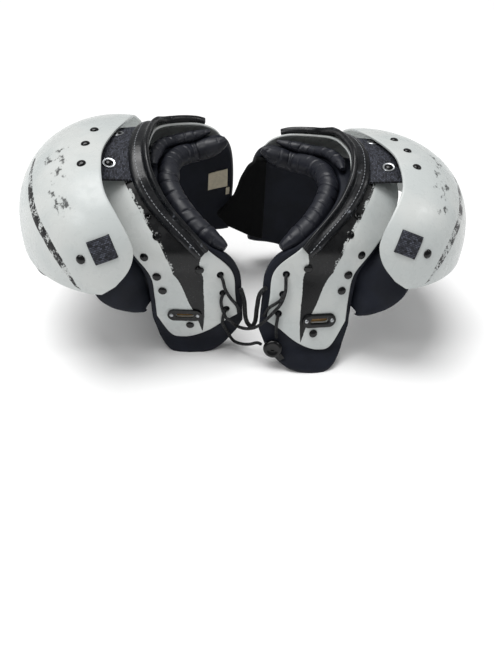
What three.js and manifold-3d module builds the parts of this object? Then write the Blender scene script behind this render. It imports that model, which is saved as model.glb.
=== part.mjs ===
// Football shoulder pad, standing on the lower ends of its chest and back pads.
// Millimetres, +Z up, the chest faces -Y, +X is the wearer's left and z = 0 is the table.
import * as THREE from "three";
import { mergeVertices } from "three/addons/utils/BufferGeometryUtils.js";
import Module from "manifold-3d";

const wasm = await Module();
wasm.setup();

// Body shell: one white plate a side, from the chest over the shoulder to the back.
const shellHalfWidth = 184;
const shellFront = 150;
const shellBack = 116;
const shellHeight = 230;
const plateWall = 3;
const plateHemDrop = 38;
const gap = 0.3;
// What the flat faces of a curved wall fall short of its curve.
const facetRoom = 0.8;

// Foam body pad under the plate, and the arch of air that keeps the plate off the shoulder.
const padThickness = 14;
const padNeckMargin = 8;
const padChestMargin = 10;
const padArmMargin = 8;
const padHemDrop = 72;
const padHemFlare = 14;
const padHemFlareHeight = 26;
const archGap = 25;
// Share of the arch lost between the neck edge and the arm edge.
const archArmFade = 0.45;

// Raised rail along the plate's neck edge, and the two rolls inside it.
const railWidth = 22;
const railHeight = 9;
const neckRollRadius = 12;
const bandHalfWidth = 7;
const bandHalfHeight = 5;

// Shoulder cap: part of a flattened dome, hung on the shoulder web.
const capInset = 21.6;
const capHalfWidth = 118.1;
const capHalfLength = 160.9;
const capRise = 110;
const capRoundness = 2.55;
const capAboveShell = 5.8;
const capWall = 3;
const capPadThickness = 9;

// Webbing, straps and flaps.
const webThickness = 2;
const webTuck = 5;
const webEndBeyondCapCentre = 42;
const webbingWidth = 25;
const webbingThickness = 1.6;
const strapPatchLength = 25;
const strapLegLength = 7;
const slotClearance = 0.5;
const sidePadThickness = 8;
const overlapThickness = 9;
const overlapReach = 44;
const labelThickness = 1;

// Small hardware.
const rivetHeadRadius = 5.1;
const rivetHeadHeight = 2.4;
const washerRadius = 7.4;
const eyeletRadius = 3.6;
const laceHoleRadius = 4.4;
const laceDiameter = 4;
const lockDiscRadius = 12;
const lockDiscHeight = 6;
const beltPlateLength = 42;
const beltPlateWidth = 17.5;
const beltPlateThickness = 1.6;
const beltSlotLength = 22;
const beltSlotWidth = 5.6;
const beltPocketDepth = 8;

// Sections of the body shell from the chest hem to the back hem. inner is the neck edge and
// outer the arm edge, as shares of the half width, of the front or back reach (front is
// negative) and of the height. swell is the bow of the section as a share of its chord.
const bodySections = [
  { innerX: 0.092, innerY: -0.853, innerZ: 0.27, outerX: 0.63, outerY: -0.84, outerZ: 0.26, swell: 0.06 },
  { innerX: 0.109, innerY: -0.813, innerZ: 0.39, outerX: 0.636, outerY: -0.813, outerZ: 0.383, swell: 0.05 },
  { innerX: 0.136, innerY: -0.76, innerZ: 0.522, outerX: 0.652, outerY: -0.8, outerZ: 0.513, swell: 0.04 },
  { innerX: 0.293, innerY: -0.78, innerZ: 0.665, outerX: 0.75, outerY: -0.76, outerZ: 0.63, swell: 0.06 },
  { innerX: 0.5, innerY: -0.59, innerZ: 0.8, outerX: 0.874, outerY: -0.613, outerZ: 0.726, swell: 0.07 },
  { innerX: 0.614, innerY: -0.4, innerZ: 0.909, outerX: 0.96, outerY: -0.413, outerZ: 0.826, swell: 0.07 },
  { innerX: 0.647, innerY: -0.2, innerZ: 0.983, outerX: 0.978, outerY: -0.187, outerZ: 0.896, swell: 0.06 },
  { innerX: 0.641, innerY: 0.02, innerZ: 1, outerX: 1, outerY: 0.03, outerZ: 0.93, swell: 0.06 },
  { innerX: 0.609, innerY: 0.345, innerZ: 0.991, outerX: 0.989, outerY: 0.33, outerZ: 0.909, swell: 0.06 },
  { innerX: 0.516, innerY: 0.62, innerZ: 0.961, outerX: 0.946, outerY: 0.586, outerZ: 0.848, swell: 0.07 },
  { innerX: 0.315, innerY: 0.76, innerZ: 0.939, outerX: 0.88, outerY: 0.776, outerZ: 0.748, swell: 0.08 },
  { innerX: 0.185, innerY: 0.83, innerZ: 0.878, outerX: 0.815, outerY: 0.88, outerZ: 0.63, swell: 0.07 },
  { innerX: 0.12, innerY: 0.89, innerZ: 0.752, outerX: 0.77, outerY: 0.94, outerZ: 0.504, swell: 0.06 },
  { innerX: 0.1, innerY: 0.95, innerZ: 0.557, outerX: 0.72, outerY: 1.01, outerZ: 0.378, swell: 0.05 },
  { innerX: 0.12, innerY: 1.03, innerZ: 0.348, outerX: 0.66, outerY: 1.09, outerZ: 0.274, swell: 0.05 },
];
const lastSection = bodySections.length - 1;
const plateSteps = { along: 24, across: 5 };
const hemCrowding = 0.45;

// Section number at a share of the way along, with the steps crowded towards both hems.
function placeAt(along) {
  return lastSection * (along - (hemCrowding * Math.sin(2 * Math.PI * along)) / (2 * Math.PI));
}

// Hems at equal steps from the neck edge to the arm edge, as shares of each hem's drop.
const plateHem = [
  { chest: 0, back: 0 },
  { chest: 0.27, back: 0.3 },
  { chest: 0.63, back: 0.62 },
  { chest: 0.88, back: 0.7 },
  { chest: 1, back: 0.75 },
  { chest: 0.88, back: 0.7 },
  { chest: 0, back: 0.3 },
];
const padHem = [
  { chest: 0.2, back: 0.46 },
  { chest: 0.58, back: 0.5 },
  { chest: 0.8, back: 0.52 },
  { chest: 0.9, back: 0.58 },
  { chest: 0.93, back: 0.84 },
  { chest: 0.66, back: 1.15 },
  { chest: 0.05, back: 1.1 },
];
const hemReach = 1.6;

// Outline of the cap from its chest lobe over the shoulder to its back lobe, as degrees of turn
// round the dome's upright axis and of rise above its rim. The rim side is the lower outer edge.
const capSections = [
  { rimTurn: 3, rimRise: -1, edgeTurn: -4, edgeRise: 4 },
  { rimTurn: 10, rimRise: -1, edgeTurn: -12, edgeRise: 13.5 },
  { rimTurn: 18, rimRise: -0.5, edgeTurn: -15.5, edgeRise: 22.5 },
  { rimTurn: 29, rimRise: 0, edgeTurn: -14, edgeRise: 31 },
  { rimTurn: 42, rimRise: 0, edgeTurn: -9, edgeRise: 41 },
  { rimTurn: 57, rimRise: 0, edgeTurn: -1, edgeRise: 52.5 },
  { rimTurn: 73, rimRise: 0, edgeTurn: 5, edgeRise: 65 },
  { rimTurn: 89, rimRise: 0, edgeTurn: 12, edgeRise: 77 },
  { rimTurn: 104, rimRise: 0, edgeTurn: 203, edgeRise: 87 },
  { rimTurn: 118, rimRise: 0, edgeTurn: 201, edgeRise: 76 },
  { rimTurn: 133, rimRise: 0, edgeTurn: 198, edgeRise: 64 },
  { rimTurn: 147, rimRise: 0, edgeTurn: 193, edgeRise: 49 },
  { rimTurn: 160, rimRise: -0.5, edgeTurn: 194, edgeRise: 34 },
  { rimTurn: 170, rimRise: -1, edgeTurn: 192, edgeRise: 18 },
  { rimTurn: 177, rimRise: -1, edgeTurn: 184, edgeRise: 4 },
];

// Section of the rail across the plate's neck edge, as shares of its width and height.
const railSection = [
  { across: 0.06, rise: -0.1 },
  { across: -0.05, rise: 0.3 },
  { across: -0.05, rise: 0.6 },
  { across: 0.08, rise: 1 },
  { across: 0.2, rise: 0.82 },
  { across: 0.32, rise: 0.42 },
  { across: 0.75, rise: 0.48 },
  { across: 1, rise: 0.16 },
  { across: 1, rise: -0.15 },
];

// Where the rolls' curves are fixed to the pad's neck edge, as section numbers.
const neckRollStations = [2.95, 3.6, 4.4, 5.3, 6.3, 7.3, 8.3, 9.2, 10, 10.6];
const collarBandStations = [6.2, 7, 8, 9, 9.8, 10.3];

// Side flap under the front of the cap: where it leaves the body shell, as a section number, and
// how far its free edge stands off there, as shares of the half width, front reach and height.
const sidePadSections = [
  { section: 0.35, outX: 0.03, outY: -0.08, outZ: -0.03 },
  { section: 0.8, outX: 0.1, outY: -0.13, outZ: -0.065 },
  { section: 1.4, outX: 0.18, outY: -0.17, outZ: -0.08 },
  { section: 2, outX: 0.235, outY: -0.2, outZ: -0.08 },
  { section: 2.7, outX: 0.24, outY: -0.2, outZ: -0.065 },
  { section: 3.5, outX: 0.22, outY: -0.19, outZ: -0.055 },
  { section: 4.3, outX: 0.2, outY: -0.14, outZ: -0.06 },
];

// Rivets of the chest plate: section number, share of the way from neck edge to arm edge, and
// millimetres from the curve to the head's flat underside.
const plateRivets = [
  { name: "hem", section: 0.3, across: 0.585, lift: 0.6 },
  { name: "chest", section: 2.25, across: 0.355, lift: 1.4 },
  { name: "arm_low", section: 1.35, across: 0.89, lift: 0.6 },
  { name: "arm_mid", section: 2, across: 0.92, lift: 0.6 },
  { name: "arm_high", section: 2.87, across: 0.88, lift: -0.8 },
  { name: "rail", section: 3.48, across: 0.48, lift: -0.5 },
];
const plateEyelet = { section: 4.02, across: 0.385 };
const laceHoles = [
  { section: 1.92, across: 0.158 },
  { section: 1.17, across: 0.155 },
  { section: 0.47, across: 0.13 },
];
const beltPlatePlace = { section: 0.58, across: 0.645 };

// Rivets of the cap: the three over the web as offsets from the dome's axis, as shares of its
// half width and half length, and the one in the chest lobe as turn and rise.
const capWebRivets = [
  { name: "front", out: 0.22, along: -0.41 },
  { name: "middle", out: 0.225, along: -0.16 },
  { name: "back", out: 0.18, along: 0.07 },
];
const capLobeRivet = { turn: 12, rise: 20 };
const capStrapPlace = { turn: 0.5, rise: 25.5, lean: 20 };
const webRivets = [
  { name: "front", along: 0.2, across: 0.4 },
  { name: "back", along: 0.78, across: 0.35 },
];
const webSpan = { front: 5.05, back: 8.1 };
const railSpan = { front: 3, back: 10.2 };
const railFrontTaper = 0.7;
// Sections over which the rail climbs onto the web.
const railRamp = 0.7;
const webCapSpan = { front: -0.5, back: 0.17 };

// Leaf over the middle of the back: its sections, how far it crosses the middle at equal steps
// down its free edge as shares of its reach, and where it starts on the left pad.
const overlapSpan = { top: 11.4, low: 13.85 };
const overlapEdge = [
  { reach: -0.4 },
  { reach: -0.35 },
  { reach: -0.17 },
  { reach: -0.05 },
  { reach: 0.07 },
  { reach: 0.17 },
  { reach: 0.35 },
  { reach: 0.92 },
  { reach: 0.4 },
];
const overlapRoot = 42;

// Labels: distances from the middle as shares of the half width, and section numbers.
const labels = [
  { name: "care_label", near: 0.145, far: 0.285, top: 12.45, low: 12.95 },
  { name: "care_tag", near: 0.11, far: 0.165, top: 12.99, low: 13.16 },
];

// Laces and the round elastic at the throat. A stop on a plate or pad has a section, a share
// across, a lift as a share of the lace's diameter and a side (1 is the wearer's left); a stop in
// the air has shares of the half width, of the front reach and of the height.
const laceCross = [
  { plate: 1.17, across: 0.155, lift: -0.5, side: -1 },
  { plate: 1.12, across: 0.168, lift: 0.82, side: -1 },
  { plate: 0.9, across: 0.19, lift: 0.82, side: -1 },
  { plate: 0.54, across: 0.18, lift: 1.02, side: -1 },
  { plate: 0.28, across: 0.155, lift: 2.4, side: -1 },
  { plate: 0.09, across: 0.12, lift: 1.62, side: -1 },
  { x: -0.092, y: -0.793, z: 0.18 },
  { x: -0.046, y: -0.827, z: 0.181 },
  { x: -0.007, y: -0.853, z: 0.193 },
  { x: 0.041, y: -0.908, z: 0.24 },
  { plate: 0.26, across: 0.025, lift: 1.12, side: 1 },
  { plate: 0.6, across: 0.085, lift: 1.52, side: 1 },
  { plate: 0.9, across: 0.14, lift: 1.97, side: 1 },
  { plate: 1.3, across: 0.182, lift: 1.32, side: 1 },
  { plate: 1.8, across: 0.168, lift: 0.87, side: 1 },
  { plate: 1.92, across: 0.158, lift: -0.5, side: 1 },
];
const laceLower = [
  { plate: 0.47, across: 0.13, lift: -0.5, side: -1 },
  { plate: 0.42, across: 0.155, lift: 0.76, side: -1 },
  { plate: 0.25, across: 0.178, lift: 0.76, side: -1 },
  { plate: 0.06, across: 0.19, lift: 0.84, side: -1 },
  { pad: 0.24, across: 0.233, lift: 0.84, side: -1 },
  { x: -0.108, y: -0.78, z: 0.066 },
  { x: -0.059, y: -0.827, z: 0.07 },
  { x: -0.009, y: -0.873, z: 0.092 },
  { x: 0.041, y: -0.933, z: 0.136 },
  { x: 0.06, y: -0.973, z: 0.149 },
];
const laceTail = [
  { plate: 0.47, across: 0.13, lift: -0.5, side: 1 },
  { plate: 0.4, across: 0.128, lift: 0.65, side: 1 },
  { plate: 0.13, across: 0.12, lift: 1.15, side: 1 },
  { pad: 0.4, across: 0.228, lift: 1.2, side: 1 },
  { pad: 0.31, across: 0.233, lift: 0.8, side: 1 },
];
const laceUpperRight = [
  { plate: 1.92, across: 0.158, lift: -0.5, side: -1 },
  { plate: 1.78, across: 0.155, lift: 1.2, side: -1 },
  { plate: 1.37, across: 0.135, lift: 1.15, side: -1 },
  { plate: 1.01, across: 0.08, lift: 1.15, side: -1 },
  { plate: 0.6, across: 0.014, lift: 1.2, side: -1 },
  { pad: 0.52, across: 0.085, lift: 1.15, side: -1 },
];
const laceMiddleLeft = [
  { plate: 1.17, across: 0.155, lift: -0.5, side: 1 },
  { plate: 1.02, across: 0.14, lift: 0.85, side: 1 },
  { plate: 0.86, across: 0.09, lift: 0.88, side: 1 },
  { plate: 0.62, across: 0.012, lift: 0.98, side: 1 },
  { pad: 0.56, across: 0.075, lift: 0.88, side: 1 },
];
const throatLoop = [
  { pad: 1.27, across: 0.047, lift: 0.85, side: -1 },
  { pad: 0.8, across: 0.0, lift: 0.9, side: -1 },
  { x: -0.034, y: -0.78, z: 0.229 },
  { x: -0.015, y: -0.793, z: 0.193 },
  { x: 0.008, y: -0.8, z: 0.18 },
  { x: 0.028, y: -0.807, z: 0.214 },
  { x: 0.035, y: -0.807, z: 0.309 },
  { pad: 1.16, across: -0.02, lift: 0.9, side: 1 },
  { pad: 1.39, across: 0.08, lift: 0.85, side: 1 },
];
const loopDiameter = 5.6;
const lockPlace = { pad: 0.13, across: 0.21, lift: 1.4, side: 1 };

// Colours and finishes.
const whitePlastic = new THREE.MeshStandardMaterial({ color: 0xdfe4e6, roughness: 0.4 });
const darkFoam = new THREE.MeshStandardMaterial({ color: 0x15181f, roughness: 0.9 });
const blackVinyl = new THREE.MeshStandardMaterial({ color: 0x22252c, roughness: 0.45 });
const blackWebbing = new THREE.MeshStandardMaterial({ color: 0x1d2027, roughness: 0.85 });
const blackMetal = new THREE.MeshStandardMaterial({ color: 0x14161a, roughness: 0.3, metalness: 0.6 });
const creamCloth = new THREE.MeshStandardMaterial({ color: 0xcfc7b2, roughness: 0.9 });

// Curve through equal steps of a list of numbers, at a place between 0 and the last index.
function through(values, place) {
  const last = values.length - 1;
  const step = Math.min(Math.max(Math.floor(place), 0), last - 1);
  const t = place - step;
  const at = (index) => {
    if (index < 0) return 2 * values[0] - values[1];
    if (index > last) return 2 * values[last] - values[last - 1];
    return values[index];
  };
  const [a, b, c, d] = [at(step - 1), at(step), at(step + 1), at(step + 2)];
  const bend = 2 * a - 5 * b + 4 * c - d;
  const twist = 3 * b - a - 3 * c + d;
  return 0.5 * (2 * b + (c - a) * t + bend * t * t + twist * t * t * t);
}

function column(table, name) {
  return table.map((row) => row[name]);
}

function smooth(low, high, value) {
  return THREE.MathUtils.smoothstep(value, low, high);
}

function depthShare(share) {
  return share < 0 ? share * shellFront : share * shellBack;
}

// Body shell's middle surface, before any offset, at a section number and a share across.
const bodyColumns = Object.fromEntries(
  Object.keys(bodySections[0]).map((name) => [name, column(bodySections, name)]),
);

function bodyEdge(side, place) {
  return new THREE.Vector3(
    through(bodyColumns[side + "X"], place) * shellHalfWidth,
    depthShare(through(bodyColumns[side + "Y"], place)),
    through(bodyColumns[side + "Z"], place) * shellHeight,
  );
}

function bodyPoint(place, across) {
  const inner = bodyEdge("inner", place);
  const outer = bodyEdge("outer", place);
  const along = bodyEdge("inner", place + 0.5)
    .add(bodyEdge("outer", place + 0.5))
    .sub(bodyEdge("inner", place - 0.5))
    .sub(bodyEdge("outer", place - 0.5));
  const chord = outer.clone().sub(inner);
  const out = chord.clone().cross(along).normalize();
  const bow = through(bodyColumns.swell, place) * chord.length() * 4 * across * (1 - across);
  return inner.addScaledVector(chord, across).addScaledVector(out, bow);
}

function bodyNormal(place, across) {
  const step = 0.02;
  const along = bodyPoint(place + step, across).sub(bodyPoint(place - step, across));
  const over = bodyPoint(place, across + step).sub(bodyPoint(place, across - step));
  return over.cross(along).normalize();
}

function bodyChord(place) {
  return bodyEdge("outer", place).distanceTo(bodyEdge("inner", place));
}

function onBody(place, across, offset) {
  return bodyPoint(place, across).addScaledVector(bodyNormal(place, across), offset);
}

// How far a hem hangs below the shell's end sections, by its shape across and its drop.
function hemSag(place, across, shape, drop) {
  const fromEnd = Math.min(place, lastSection - place);
  const fade = Math.max(0, 1 - fromEnd / hemReach) ** 2;
  const share = Math.min(Math.max(across, 0), 1);
  const hem = column(shape, place < lastSection / 2 ? "chest" : "back");
  return drop * fade * through(hem, share * (shape.length - 1));
}

function archDrop(place) {
  return archGap * smooth(2.4, 6, place) * (1 - smooth(8.8, 12, place));
}

// How each half lies as it stands by itself: tipped a little about a cross axis, one half to
// the front and the other to the back, with the end of its chest flap swung the same way.
const tip = THREE.MathUtils.degToRad(2.29);
const tipAxis = { y: -90, z: 152 };
const flapSwing = 14.2;
const flapTop = 120;
const flapDepth = 110;
const flapSwingLimit = 1.3;
const flapSwingPower = 1.5;
// Distance from the middle, forwards, over which the swing builds up.
const flapSwingStart = 60;

function settle(point, side) {
  const y = point.y - tipAxis.y;
  const z = point.z - tipAxis.z;
  const turn = -side * tip;
  const share = THREE.MathUtils.clamp((flapTop - point.z) / flapDepth, 0, flapSwingLimit);
  const low = share ** flapSwingPower;
  const swing = side * flapSwing * low * smooth(0, flapSwingStart, -point.y);
  return new THREE.Vector3(
    side * point.x,
    y * Math.cos(turn) - z * Math.sin(turn) + tipAxis.y - swing,
    y * Math.sin(turn) + z * Math.cos(turn) + tipAxis.z,
  );
}

// Cap's dome: a point at a turn and rise in degrees, pushed out by an offset.
const capCentre = new THREE.Vector3(
  shellHalfWidth - capInset,
  0,
  shellHeight + capAboveShell - capRise,
);

function capDirection(turn, rise) {
  const t = THREE.MathUtils.degToRad(turn);
  const r = THREE.MathUtils.degToRad(rise);
  return new THREE.Vector3(Math.cos(r) * Math.sin(t), -Math.cos(r) * Math.cos(t), Math.sin(r));
}

function onCapAlong(direction, offset) {
  const level = Math.hypot(direction.x, direction.y);
  const power = level ** capRoundness + Math.abs(direction.z) ** capRoundness;
  const unit = direction.clone().multiplyScalar(power ** (-1 / capRoundness));
  const flat = Math.hypot(unit.x, unit.y);
  const slope = flat ** (capRoundness - 2);
  const normal = new THREE.Vector3(
    (unit.x * slope) / capHalfWidth,
    (unit.y * slope) / capHalfLength,
    (Math.sign(unit.z) * Math.abs(unit.z) ** (capRoundness - 1)) / capRise,
  ).normalize();
  return new THREE.Vector3(unit.x * capHalfWidth, unit.y * capHalfLength, unit.z * capRise)
    .add(capCentre)
    .addScaledVector(normal, offset);
}

function onCap(turn, rise, offset) {
  return onCapAlong(capDirection(turn, rise), offset);
}

// Height of the dome over a place given as shares of its half width and half length.
function onCapTop(out, along, offset) {
  const level = Math.hypot(out, along);
  const top = Math.max(0, 1 - level ** capRoundness) ** (1 / capRoundness);
  return onCapAlong(new THREE.Vector3(out, along, top), offset);
}

// Closed slab between two grids of points, one outside and one inside.
function slab(alongCount, acrossCount, outside, inside) {
  const points = [];
  const stride = acrossCount + 1;
  for (const face of [outside, inside]) {
    for (let i = 0; i <= alongCount; i++) {
      for (let j = 0; j <= acrossCount; j++) points.push(...face(i / alongCount, j / acrossCount));
    }
  }
  const half = (alongCount + 1) * stride;
  const index = [];
  const quad = (a, b, c, d) => index.push(a, b, c, a, c, d);
  const at = (i, j) => i * stride + j;
  for (let i = 0; i < alongCount; i++) {
    for (let j = 0; j < acrossCount; j++) {
      quad(at(i, j), at(i, j + 1), at(i + 1, j + 1), at(i + 1, j));
      quad(half + at(i, j), half + at(i + 1, j), half + at(i + 1, j + 1), half + at(i, j + 1));
    }
    quad(at(i, 0), at(i + 1, 0), half + at(i + 1, 0), half + at(i, 0));
    const [near, far] = [at(i, acrossCount), at(i + 1, acrossCount)];
    quad(far, near, half + near, half + far);
  }
  for (let j = 0; j < acrossCount; j++) {
    quad(at(0, j + 1), at(0, j), half + at(0, j), half + at(0, j + 1));
    quad(at(alongCount, j), at(alongCount, j + 1), half + at(alongCount, j + 1), half + at(alongCount, j));
  }
  return closedGeometry(points, index);
}

// Closed body through rings of equal count, shut by a fan at each end.
function loft(rings) {
  const count = rings[0].length;
  const points = rings.flat().flatMap((point) => point.toArray());
  const index = [];
  for (let i = 0; i < rings.length - 1; i++) {
    for (let j = 0; j < count; j++) {
      const a = i * count + j;
      const b = i * count + ((j + 1) % count);
      index.push(a, b, b + count, a, b + count, a + count);
    }
  }
  for (const end of [0, rings.length - 1]) {
    const middle = rings[end]
      .reduce((sum, point) => sum.add(point), new THREE.Vector3())
      .divideScalar(count);
    const hub = points.length / 3;
    points.push(...middle.toArray());
    for (let j = 0; j < count; j++) {
      const a = end * count + j;
      const b = end * count + ((j + 1) % count);
      if (end === 0) index.push(hub, b, a);
      else index.push(hub, a, b);
    }
  }
  return closedGeometry(points, index);
}

function closedGeometry(points, index) {
  const geometry = new THREE.BufferGeometry();
  geometry.setAttribute("position", new THREE.Float32BufferAttribute(points, 3));
  geometry.setIndex(index);
  if (signedVolume(geometry) < 0) flip(geometry);
  return geometry;
}

function flip(geometry) {
  const index = geometry.index.array;
  for (let i = 0; i < index.length; i += 3) [index[i + 1], index[i + 2]] = [index[i + 2], index[i + 1]];
}

function signedVolume(geometry) {
  const position = geometry.getAttribute("position");
  const corner = [0, 1, 2].map(() => new THREE.Vector3());
  let sum = 0;
  for (let i = 0; i < geometry.index.count; i += 3) {
    corner.forEach((point, k) => point.fromBufferAttribute(position, geometry.index.getX(i + k)));
    sum += corner[0].dot(corner[1].cross(corner[2])) / 6;
  }
  return sum;
}

// Solid for cutting and joining, and back to a geometry.
function toSolid(geometry) {
  const bare = geometry.clone();
  bare.deleteAttribute("normal");
  bare.deleteAttribute("uv");
  const merged = mergeVertices(bare, 1e-4);
  return new wasm.Manifold(
    new wasm.Mesh({
      numProp: 3,
      vertProperties: merged.getAttribute("position").array,
      triVerts: new Uint32Array(merged.index.array),
    }),
  );
}

function toGeometry(solid) {
  const mesh = solid.getMesh();
  const geometry = new THREE.BufferGeometry();
  geometry.setAttribute("position", new THREE.BufferAttribute(mesh.vertProperties, 3));
  geometry.setIndex(new THREE.BufferAttribute(mesh.triVerts, 1));
  return geometry;
}

function cut(geometry, tools) {
  return toGeometry(tools.reduce((solid, tool) => solid.subtract(toSolid(tool)), toSolid(geometry)));
}

// Places a geometry made about its own Z axis at a point, with Z along the normal and X along a
// direction in the surface.
function seat(geometry, point, normal, xHint = new THREE.Vector3(1, 0, 0)) {
  const x = xHint.clone().addScaledVector(normal, -xHint.dot(normal)).normalize();
  const y = normal.clone().cross(x);
  const matrix = new THREE.Matrix4().makeBasis(x, y, normal).setPosition(point);
  return geometry.clone().applyMatrix4(matrix);
}

function rod(radius, low, high, sides = 6) {
  const geometry = new THREE.CylinderGeometry(radius, radius, high - low, sides);
  return geometry.rotateX(Math.PI / 2).translate(0, 0, (low + high) / 2);
}

function lathe(profile, sides) {
  const points = profile.map(([radius, height]) => new THREE.Vector2(radius, height));
  return new THREE.LatheGeometry(points, sides).rotateX(Math.PI / 2);
}

// Domed rivet head, flat below at z = 0.
function rivetHead() {
  return lathe(
    [
      [0, 0],
      [rivetHeadRadius, 0],
      [rivetHeadRadius * 0.8, rivetHeadHeight * 0.7],
      [0, rivetHeadHeight],
    ],
    8,
  );
}

// Rivet head in a flat washer ring.
function washerRivetHead() {
  return lathe(
    [
      [0, 0],
      [washerRadius, 0],
      [washerRadius * 0.94, 0.9],
      [rivetHeadRadius * 0.95, 0.9],
      [rivetHeadRadius * 0.8, rivetHeadHeight * 0.8],
      [0, rivetHeadHeight],
    ],
    10,
  );
}

const root = new THREE.Group();
const sides = [
  { name: "left", sign: 1 },
  { name: "right", sign: -1 },
];

// Copy of a left-hand geometry as it lies on one side.
function settled(geometry, sign) {
  const copy = geometry.clone();
  const position = copy.getAttribute("position");
  for (let i = 0; i < position.count; i++) {
    const point = settle(new THREE.Vector3().fromBufferAttribute(position, i), sign);
    position.setXYZ(i, ...point);
  }
  if (!copy.index) copy.setIndex(Array.from({ length: position.count }, (_, i) => i));
  if (sign < 0) flip(copy);
  return copy;
}

function addPair(name, geometry, material, finish = (shape) => shape) {
  for (const side of sides) {
    const mesh = new THREE.Mesh(finish(settled(geometry, side.sign)), material);
    mesh.name = `${name}_${side.name}`;
    root.add(mesh);
  }
}

function addShared(name, geometry, material) {
  const mesh = new THREE.Mesh(geometry, material);
  mesh.name = name;
  root.add(mesh);
}

// Body plate: the white shell with its hems, rivet holes, lace holes and belt slot.
function onPlate(place, across, offset) {
  const point = onBody(place, across, offset);
  point.z -= hemSag(place, across, plateHem, plateHemDrop);
  return point;
}

function plateNormal(place, across) {
  const step = 0.02;
  const along = onPlate(place + step, across, 0).sub(onPlate(place - step, across, 0));
  const over = onPlate(place, across + step, 0).sub(onPlate(place, across - step, 0));
  return over.cross(along).normalize();
}

function seatOnPlate(geometry, spot, lift) {
  const normal = plateNormal(spot.section, spot.across);
  const point = onPlate(spot.section, spot.across, 0).addScaledVector(normal, lift);
  return seat(geometry, point, normal);
}

// Bar with round ends, along X, from z = low to z = high.
function stadium(length, width, low, high) {
  const half = length / 2 - width / 2;
  const shape = new THREE.Shape();
  shape.absarc(half, 0, width / 2, -Math.PI / 2, Math.PI / 2, false);
  shape.absarc(-half, 0, width / 2, Math.PI / 2, Math.PI * 1.5, false);
  shape.closePath();
  return new THREE.ExtrudeGeometry(shape, {
    depth: high - low,
    bevelEnabled: false,
    curveSegments: 4,
  }).translate(0, 0, low);
}

const laceHoleTool = rod(laceHoleRadius, -plateWall * 2, plateWall, 8);
const eyeletHoleTool = rod(eyeletRadius * 0.7, -plateWall * 2, plateWall);
const beltHoleTool = stadium(beltSlotLength, beltSlotWidth, -plateWall * 2.5, plateWall * 2);

// Slab that follows the plate between two offsets from its outer face.
function plateSlab(high, low) {
  return slab(
    plateSteps.along,
    plateSteps.across,
    (i, j) => onPlate(placeAt(i), j, high).toArray(),
    (i, j) => onPlate(placeAt(i), j, low).toArray(),
  );
}

addPair(
  "body_plate",
  cut(plateSlab(0, -plateWall), [
    ...laceHoles.map((spot) => seatOnPlate(laceHoleTool, spot, 0)),
    seatOnPlate(eyeletHoleTool, plateEyelet, 0),
    seatOnPlate(beltHoleTool, beltPlatePlace, 0),
  ]),
  whitePlastic,
);
for (const spot of plateRivets) {
  addPair(`plate_rivet_${spot.name}`, seatOnPlate(rivetHead(), spot, spot.lift), blackMetal);
}

// Eyelet ring beside the rail.
const eyeletRing = lathe(
  [
    [eyeletRadius * 0.4, 0],
    [eyeletRadius, 0],
    [eyeletRadius, 0.8],
    [eyeletRadius * 0.7, 1.3],
    [eyeletRadius * 0.4, 0.8],
    [eyeletRadius * 0.4, 0],
  ],
  8,
);
addPair("plate_eyelet", seatOnPlate(eyeletRing, plateEyelet, gap * 2), blackMetal);

// Belt plate: a black stadium with two end rivets round a slot that goes through the shell.
const beltRivets = [-1, 1].map((end) =>
  lathe(
    [
      [0, beltPlateThickness / 2],
      [2.6, beltPlateThickness / 2],
      [2.6, beltPlateThickness + 0.8],
      [0, beltPlateThickness + 1.4],
    ],
    8,
  ).translate((end * (beltPlateLength + beltSlotLength)) / 4, 0, 0),
);
const beltPlateBlank = toSolid(stadium(beltPlateLength, beltPlateWidth, 0, beltPlateThickness)).subtract(
  toSolid(stadium(beltSlotLength, beltSlotWidth, -1, beltPlateThickness + 1)),
);
const beltPlate = toGeometry(beltRivets.reduce((solid, part) => solid.add(toSolid(part)), beltPlateBlank));
addPair("belt_plate", seatOnPlate(beltPlate, beltPlatePlace, gap), blackMetal);

// Body pad: foam under the plate, hanging below the arch and standing out past every edge.
function padMargin(place) {
  const high = smooth(2.2, 4, place) * (1 - smooth(10.5, 12, place));
  return THREE.MathUtils.lerp(padChestMargin, padNeckMargin, high);
}

// The pad's columns lie under the plate's, with one more beyond each edge.
function padPoint(place, share, depth) {
  const chord = bodyChord(place);
  const column = share * (plateSteps.across + 2);
  const beyondNeck = Math.max(0, 1 - column) * (padMargin(place) / chord);
  const beyondArm = Math.max(0, column - plateSteps.across - 1) * (padArmMargin / chord);
  const under = THREE.MathUtils.clamp((column - 1) / plateSteps.across, 0, 1);
  const across = under - beyondNeck + beyondArm;
  const drop = archDrop(place) * (1 - archArmFade * share);
  const point = onBody(place, across, -plateWall - gap * 2 - drop - depth);
  point.z -= hemSag(place, share, padHem, padHemDrop);
  point.y += Math.sign(point.y) * padHemFlare * smooth(-padHemFlareHeight, 0, -point.z);
  return point;
}

// Cuts what would reach below the table.
const underTable = new THREE.BoxGeometry(4 * shellHalfWidth, 4 * shellFront, shellHeight);
underTable.translate(0, 0, -shellHeight / 2);
function standOnTable(geometry) {
  return cut(geometry, [underTable]);
}

const beltPocket = stadium(beltSlotLength + 2, beltSlotWidth + 2, -plateWall - beltPocketDepth, 0);

// Neck rail: a raised bead and flange on the plate's neck edge, lifted where the web tucks in.
function railLift(place) {
  const front = smooth(webSpan.front - railRamp, webSpan.front, place);
  const back = 1 - smooth(webSpan.back, webSpan.back + railRamp, place);
  return gap + (webThickness + gap) * front * back;
}

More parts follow.
